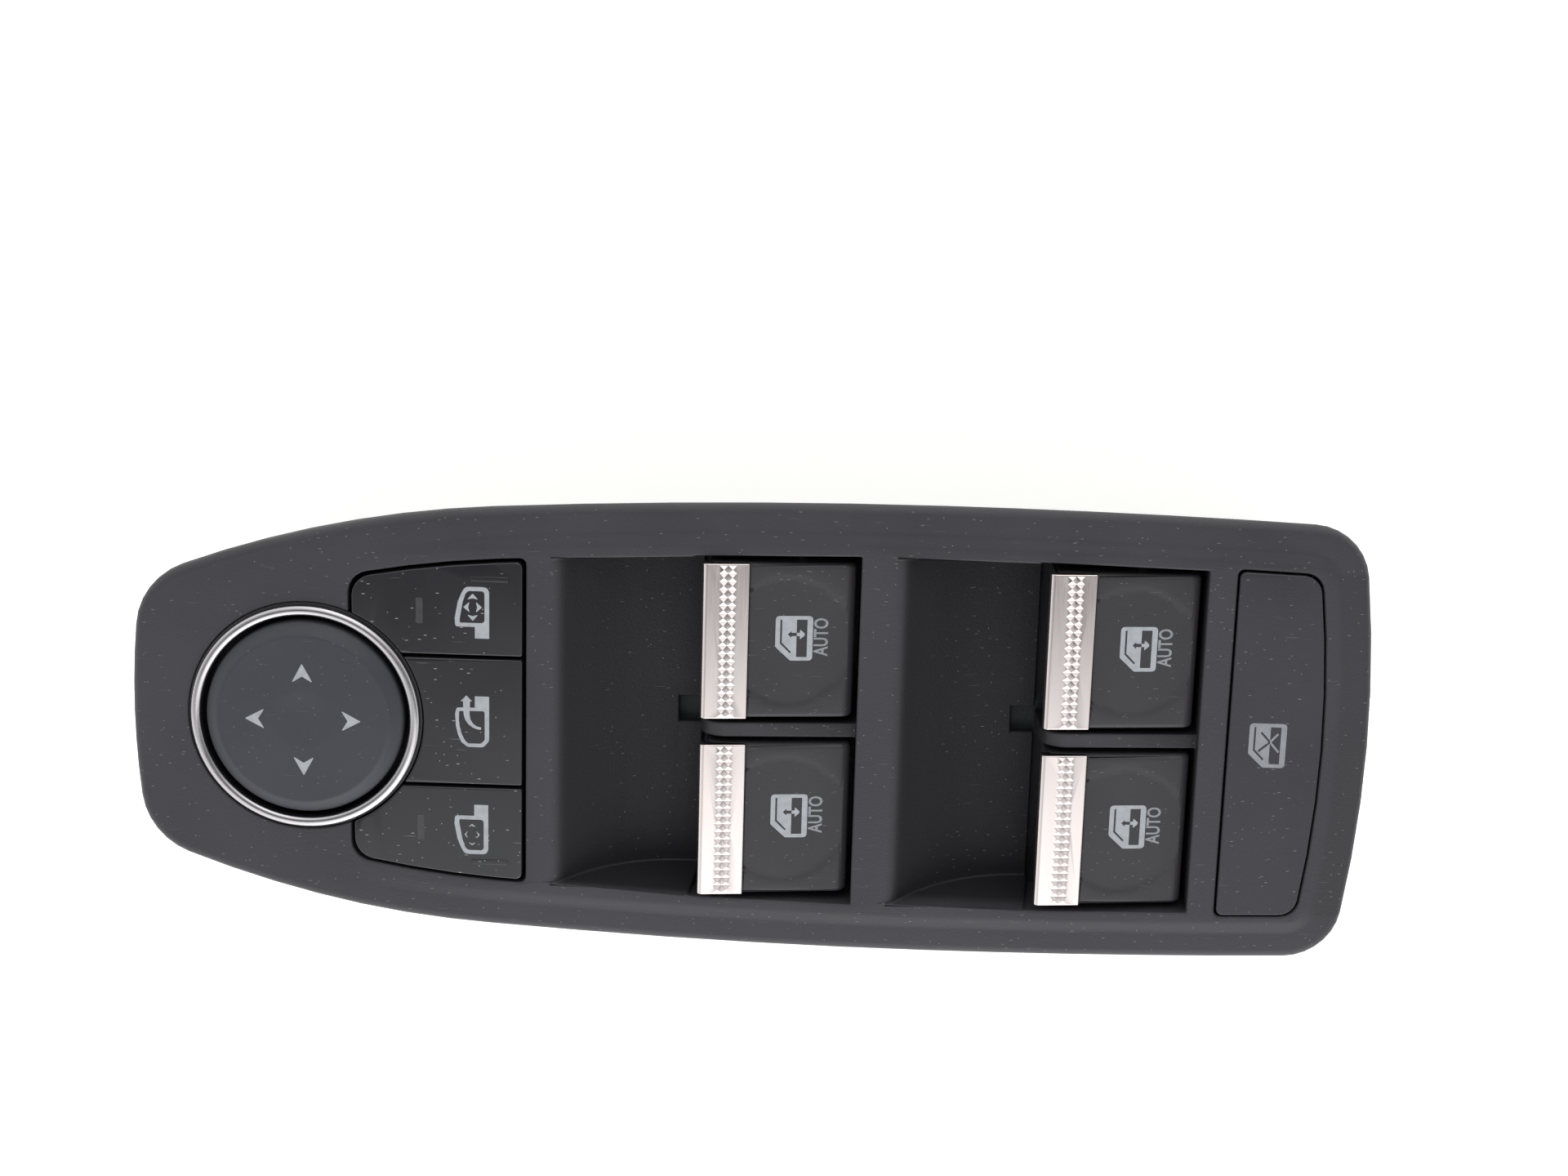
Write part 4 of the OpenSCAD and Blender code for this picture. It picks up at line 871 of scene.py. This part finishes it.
class SWITCHPANEL_OT_mirror_ring(bpy.types.Operator):
    """Turn the bright ring round the mirror pad"""
    bl_idname = "switch_panel.mirror_ring"
    bl_label = "Bright ring"

    def execute(self, context):
        low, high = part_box("mirror_ring")
        middle = (low + high) / 2
        outer = (high.x - low.x) / 2
        half = RING_HALF
        crown = sizes().ring_crown
        bpy.ops.object.select_all(action="DESELECT")
        bpy.ops.mesh.primitive_circle_add(
            vertices=28, radius=half, fill_type="NOTHING",
            location=(middle.x + outer - half, middle.y, high.z - crown), rotation=(math.pi / 2, 0.0, 0.0),
        )
        piece = bpy.context.object
        piece.name = "mirror_ring_trim"
        settle(piece)
        begin_edit(piece)
        select_verts(piece, lambda co: co.z > high.z - crown + 0.01 * MM)
        bpy.ops.transform.resize(value=(1.0, 1.0, crown / half), center_override=(0.0, 0.0, high.z - crown))
        select_verts(piece, lambda co: co.z < high.z - crown - 0.01 * MM)
        bpy.ops.transform.resize(value=(1.0, 1.0, 0.02), center_override=(0.0, 0.0, low.z))
        bpy.ops.mesh.select_all(action="SELECT")
        bpy.ops.mesh.spin(
            steps=120, dupli=False, angle=2 * math.pi, center=(middle.x, middle.y, 0.0), axis=(0.0, 0.0, 1.0),
        )
        bpy.ops.mesh.select_all(action="SELECT")
        bpy.ops.mesh.remove_doubles(threshold=0.002 * MM)
        bpy.ops.mesh.normals_make_consistent(inside=False)
        end_edit()
        smooth(piece, 40)
        give(piece, ring_finish(), "panel", "ring_metal", "mirror_ring")
        face, near = sizes().face_height, outer - 0.1 * MM
        width, height = sizes().collar_width, sizes().collar_height
        self.band("mirror_ring_collar", middle, (near, near + width), (face - 1.5 * height, height))
        shelf = low.z - sizes().shelf_drop
        self.band("mirror_pad_shelf", middle, (sizes().shelf_inner, outer - 1.5 * RING_HALF), (shelf, SHELF_T))
        return {"FINISHED"}

    def band(self, name, middle, radii, rise):
        """A moulded band round the ring's middle, between two radii, with its foot's height and its own height."""
        width, height = radii[1] - radii[0], rise[1]
        bpy.ops.object.select_all(action="DESELECT")
        bpy.ops.mesh.primitive_plane_add(
            size=1.0, rotation=(math.pi / 2, 0.0, 0.0),
            location=(middle.x + sum(radii) / 2, middle.y, rise[0] + height / 2),
        )
        piece = bpy.context.object
        piece.name = name
        piece.scale = (width, height, 1.0)
        settle(piece)
        begin_edit(piece)
        bpy.ops.mesh.spin(
            steps=120, dupli=False, angle=2 * math.pi, center=(middle.x, middle.y, 0.0), axis=(0.0, 0.0, 1.0),
        )
        bpy.ops.mesh.select_all(action="SELECT")
        bpy.ops.mesh.remove_doubles(threshold=0.002 * MM)
        bpy.ops.mesh.delete_loose()
        bpy.ops.mesh.select_all(action="DESELECT")
        bpy.ops.mesh.select_interior_faces()
        bpy.ops.mesh.delete(type="FACE")
        bpy.ops.mesh.select_all(action="SELECT")
        bpy.ops.mesh.normals_make_consistent(inside=False)
        end_edit()
        apply_modifier(piece, "BEVEL", "Rounded edges", width=0.1 * MM, segments=2, limit_method="ANGLE")
        smooth(piece, 40)
        give(piece, panel_finish(), "panel", "panel_plastic")


class SWITCHPANEL_OT_mirror_pad(bpy.types.Operator):
    """Add the round mirror pad"""
    bl_idname = "switch_panel.mirror_pad"
    bl_label = "Mirror pad"

    def execute(self, context):
        piece = soft_edged("mirror_pad", "mirror_pad_cap", [(0.35 * MM, 3, 20)], self.lower_top)
        give(piece, pad_finish(), "mirror_pad", "pad_plastic", "mirror_pad")
        return {"FINISHED"}

    def lower_top(self, piece):
        """Lowers the dished top, so that the printed arrows stay within the solid's height."""
        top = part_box("mirror_pad")[1].z
        select_verts(piece, lambda co: co.z > top - 1.2 * sizes().pad_dish_depth)
        bpy.ops.transform.translate(value=(0.0, 0.0, -sizes().print_room))


# Printed symbols

DOOR_WINDOW = [
    [(-3.0, 3.7, 0.7), (3.0, 3.7, 0.7), (3.0, -3.7, 0.7), (-0.55, -3.7, 0.5), (-3.0, -1.4, 0.5)],
    [(-2.25, 3.1), (-1.95, 3.1), (-1.95, -0.7), (-0.4, -2.3), (-0.62, -2.5), (-2.25, -0.85)],
]
WINDOW_PANE = [(0.4, 3.1), (2.1, 3.1), (2.1, -3.1), (0.4, -3.1)]
# The arrow and the cross are dark on the light pane, with the open pane, and light in the open pane
WINDOW_ARROW = [
    WINDOW_PANE + [
        (0.4, 0.38), (-0.42, 0.38), (-0.42, 0.07), (-1.0, 0.65), (-0.42, 1.23), (-0.42, 0.92), (0.4, 0.92)],
    [(0.43, 0.92), (0.92, 0.92), (0.95, 1.47), (1.9, 0.65, 0.4), (0.95, -0.17), (0.92, 0.38), (0.43, 0.38)],
]
LOCK_CROSS = [
    WINDOW_PANE + [
        (0.4, 0.37), (-1.29, -1.13), (-1.51, -0.87), (0.16, 0.61), (-1.22, 2.08), (-0.98, 2.32), (0.4, 0.85)],
    [(0.43, 0.87), (1.52, 2.11), (1.78, 1.89), (0.63, 0.6), (2.0, -0.95), (1.76, -1.18), (0.43, 0.33)],
]
MIRROR = [
    [(-1.3, 3.25, 1.2), (2.55, 3.25, 1.1), (2.55, -5.25, 0.05), (0.25, -5.25, 0.05), (0.25, -3.35, 0.05),
     (-2.9, -3.35, 0.5), (-3.0, -2.0, 0.3), (-2.5, 0.7, 0.8), (-1.9, 2.2, 0.6)],
    [(-0.8, 2.57, 0.6), (1.8, 2.57, 0.6), (1.8, -2.7, 0.6), (-2.2, -2.7, 0.2), (-2.2, -2.1, 0.2),
     (-1.7, 0.7, 0.6), (-1.25, 2.1, 0.5)],
]
FOLD_MIRROR = [
    [(-2.85, 1.4, 0.4), (-2.6, 2.4, 0.4), (-1.55, 2.45, 0.0), (-1.55, 3.5, 0.0), (-1.95, 3.5, 0.0), (-1.0, 4.5, 0.05),
     (-0.1, 3.5, 0.0), (-0.45, 3.5, 0.0), (-0.45, 2.45, 0.0), (0.35, 2.45, 0.0), (0.35, 4.38, 0.05),
     (2.67, 4.38, 0.05), (2.67, -3.1, 1.0), (1.75, -4.2, 1.0), (-0.85, -4.2, 1.0), (-1.85, -3.4, 0.8),
     (-2.45, -2.0, 0.8), (-2.75, -0.5, 0.8)],
    [(-2.2, 1.85, 0.1), (-1.5, 1.85, 0.0), (-1.45, 1.2, 0.5), (-1.2, 0.35, 0.5), (-0.7, -0.35, 0.5),
     (0.0, -0.9, 0.5), (0.65, -1.15, 0.5), (1.35, -1.25, 0.05), (1.35, -0.85, 0.05), (0.65, -0.68, 0.4),
     (0.05, -0.25, 0.4), (-0.35, 0.45, 0.5), (-0.5, 1.2, 0.5), (-0.5, 1.9, 0.0), (1.95, 1.9, 0.4),
     (1.95, -3.0, 0.6), (1.3, -3.6, 0.6), (-0.8, -3.6, 0.6), (-1.35, -3.0, 0.6), (-1.85, -1.9, 0.6),
     (-2.1, -0.9, 0.6), (-2.25, 0.5, 0.5)],
]


def small_heads(cx, cy, along, across, length, half, notch):
    """Four arrowheads round a middle, pointing away from it, their tips this far along and across the panel."""
    heads = []
    for turn in range(4):
        c, d = ((1, 0), (0, 1), (-1, 0), (0, -1))[turn]
        tip = along if c else across
        head = [(tip, 0.0), (tip - length, half), (tip - length + notch, 0.0), (tip - length, -half)]
        heads.append([(cx + x * c - y * d, cy + x * d + y * c) for x, y in head])
    return heads


def rounded(loops, radius=0.1):
    return [round_loop(loop, radius) for loop in loops]


def flipped(loops):
    """The same loops upside down."""
    return [[(p[0], -p[1], *p[2:]) for p in loop] for loop in loops]


def placed(loops, x, y):
    return [moved(loop, x, y) for loop in loops]


class SWITCHPANEL_OT_window_symbols(bpy.types.Operator):
    """Print the window symbols and their lettering on the rockers"""
    bl_idname = "switch_panel.window_symbols"
    bl_label = "Window symbols"

    def execute(self, context):
        for pair, side in ROCKERS:
            x0, y0 = rocker_place(pair, side)
            carrier = f"rocker_{pair}_{side}"
            top = rocker_top(x0)
            loops = rounded(DOOR_WINDOW) + rounded(WINDOW_ARROW, 0.06)
            window = symbol(f"window_symbol_{pair}_{side}", placed(loops, x0 + 14.85, y0 + 0.5), top)
            give(window, print_finish(), carrier, "rocker_plastic")
            word = lettering(
                f"auto_lettering_{pair}_{side}", "AUTO", 2.35, 6.3, (x0 + 19.15, y0 + 0.7), math.pi / 2, top,
            )
            give(word, faint_print_finish(), carrier, "rocker_plastic")
        return {"FINISHED"}


class SWITCHPANEL_OT_button_symbols(bpy.types.Operator):
    """Print the mirror and lock symbols on the buttons and set in their unlit indicator lenses"""
    bl_idname = "switch_panel.button_symbols"
    bl_label = "Button symbols"

    def execute(self, context):
        top = button_top()
        right = rounded(MIRROR + small_heads(-0.1, -0.1, 1.5, 2.25, 1.0, 0.9, 0.22), 0.08)
        left = rounded(flipped(MIRROR) + small_heads(-0.1, 0.1, 1.25, 1.85, 0.62, 0.72, 0.36), 0.06)
        self.print_on("mirror_right_button", "right_mirror_symbol", placed(right, -44.6, 19.3), top, print_finish())
        self.print_on("mirror_left_button", "left_mirror_symbol", placed(left, -44.8, -19.3), top, print_finish())
        fold = rounded(FOLD_MIRROR)
        self.print_on("mirror_fold_button", "fold_mirror_symbol", placed(fold, -44.75, 0.0), top, print_finish())
        lock = rounded(DOOR_WINDOW) + rounded(LOCK_CROSS, 0.03)
        self.print_on("window_lock_button", "window_lock_symbol", placed(lock, 83.68, 0.4), top, faint_print_finish())
        for side, y in (("right", 18.4), ("left", -18.2)):
            lens = round_loop([(-53.85, y - 2.1), (-52.75, y - 2.1), (-52.75, y + 2.1), (-53.85, y + 2.1)], 0.15)
            self.print_on(f"mirror_{side}_button", f"{side}_indicator_lens", [lens], top, unlit_finish())
        return {"FINISHED"}

    def print_on(self, button, name, loops, top, finish):
        give(symbol(name, loops, top), finish, button, "button_plastic")


class SWITCHPANEL_OT_pad_arrows(bpy.types.Operator):
    """Print the four arrows on the mirror pad"""
    bl_idname = "switch_panel.pad_arrows"
    bl_label = "Pad arrows"

    def execute(self, context):
        cx, cy = pad_middle()
        heads = small_heads(cx, cy, 9.4, 9.4, 3.2, 1.72, 1.05)
        for name, head in zip(("rear", "up", "front", "down"), heads):
            piece = symbol(f"pad_arrow_{name}", [round_loop(head, 0.12)], pad_top)
            give(piece, print_finish(), "mirror_pad", "pad_plastic")
        return {"FINISHED"}


# Carried-over nodes

class SWITCHPANEL_OT_inner_parts(bpy.types.Operator):
    """Give every carried-over inner part its finish"""
    bl_idname = "switch_panel.inner_parts"
    bl_label = "Inner parts"

    def execute(self, context):
        case = moulded("Case Plastic", linear(44, 45, 48), 0.55, 0.4, 0.5, (0.15, 0.1, 0.2))
        steel = plain_finish("Zinc Steel", linear(176, 178, 182), 0.35, metallic=1.0)
        finishes = {
            "mirror_pad_gimbal": plain_finish("Gimbal Plastic", linear(190, 184, 168), 0.45),
            "rocker_axles": steel,
            "case_screws": steel,
            "switch_housing": case,
            "base_cover": case,
            "connector_header": moulded("Connector Plastic", linear(62, 64, 68), 0.45, 0.3, 0.2, (0.1, 0.1, 0.1)),
            "connector_pins": plain_finish("Pin Brass", linear(214, 190, 120), 0.3, metallic=1.0),
            "circuit_board": plain_finish("Board Laminate", linear(38, 84, 58), 0.4, mottle=0.2),
            "dome_mat": plain_finish("Grey Silicone", linear(150, 152, 156), 0.6),
            "light_guide": plain_finish("Clear Guide", linear(232, 238, 240), 0.12, clear=0.9),
            "board_leds": plain_finish("Lens White", linear(240, 236, 214), 0.3),
            "controller_chip": plain_finish("Chip Epoxy", linear(30, 31, 33), 0.5),
        }
        for node, finish in finishes.items():
            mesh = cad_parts[node].data
            mesh.materials.clear()
            mesh.materials.append(finish)
        return {"FINISHED"}


OPERATORS = (
    SWITCHPANEL_OT_stage,
    SWITCHPANEL_OT_bezel,
    SWITCHPANEL_OT_mirror_ring,
    SWITCHPANEL_OT_mirror_pad,
    SWITCHPANEL_OT_buttons,
    SWITCHPANEL_OT_rockers,
    SWITCHPANEL_OT_lips,
    SWITCHPANEL_OT_window_symbols,
    SWITCHPANEL_OT_button_symbols,
    SWITCHPANEL_OT_pad_arrows,
    SWITCHPANEL_OT_inner_parts,
)


class SWITCHPANEL_PT_sidebar(bpy.types.Panel):
    """Lists the pieces of the switch panel"""
    bl_idname = "SWITCHPANEL_PT_sidebar"
    bl_label = "Door Switch Panel"
    bl_space_type = "VIEW_3D"
    bl_region_type = "UI"
    bl_category = "Switch Panel"

    def draw(self, context):
        for group in (context.scene.switch_panel_sizes, context.scene.switch_panel_colours):
            box = self.layout.box()
            for name in group.__annotations__:
                box.prop(group, name)
        for operator in OPERATORS:
            self.layout.operator(operator.bl_idname)


CLASSES = (SwitchPanelSizes, SwitchPanelColours, *OPERATORS, SWITCHPANEL_PT_sidebar)


def register():
    for cls in CLASSES:
        bpy.utils.register_class(cls)
    bpy.types.Scene.switch_panel_sizes = bpy.props.PointerProperty(type=SwitchPanelSizes)
    bpy.types.Scene.switch_panel_colours = bpy.props.PointerProperty(type=SwitchPanelColours)


def unregister():
    del bpy.types.Scene.switch_panel_colours
    del bpy.types.Scene.switch_panel_sizes
    for cls in reversed(CLASSES):
        bpy.utils.unregister_class(cls)


def main():
    register()
    for operator in OPERATORS:
        group, name = operator.bl_idname.split(".")
        getattr(getattr(bpy.ops, group), name)()


if __name__ == "__main__":
    main()
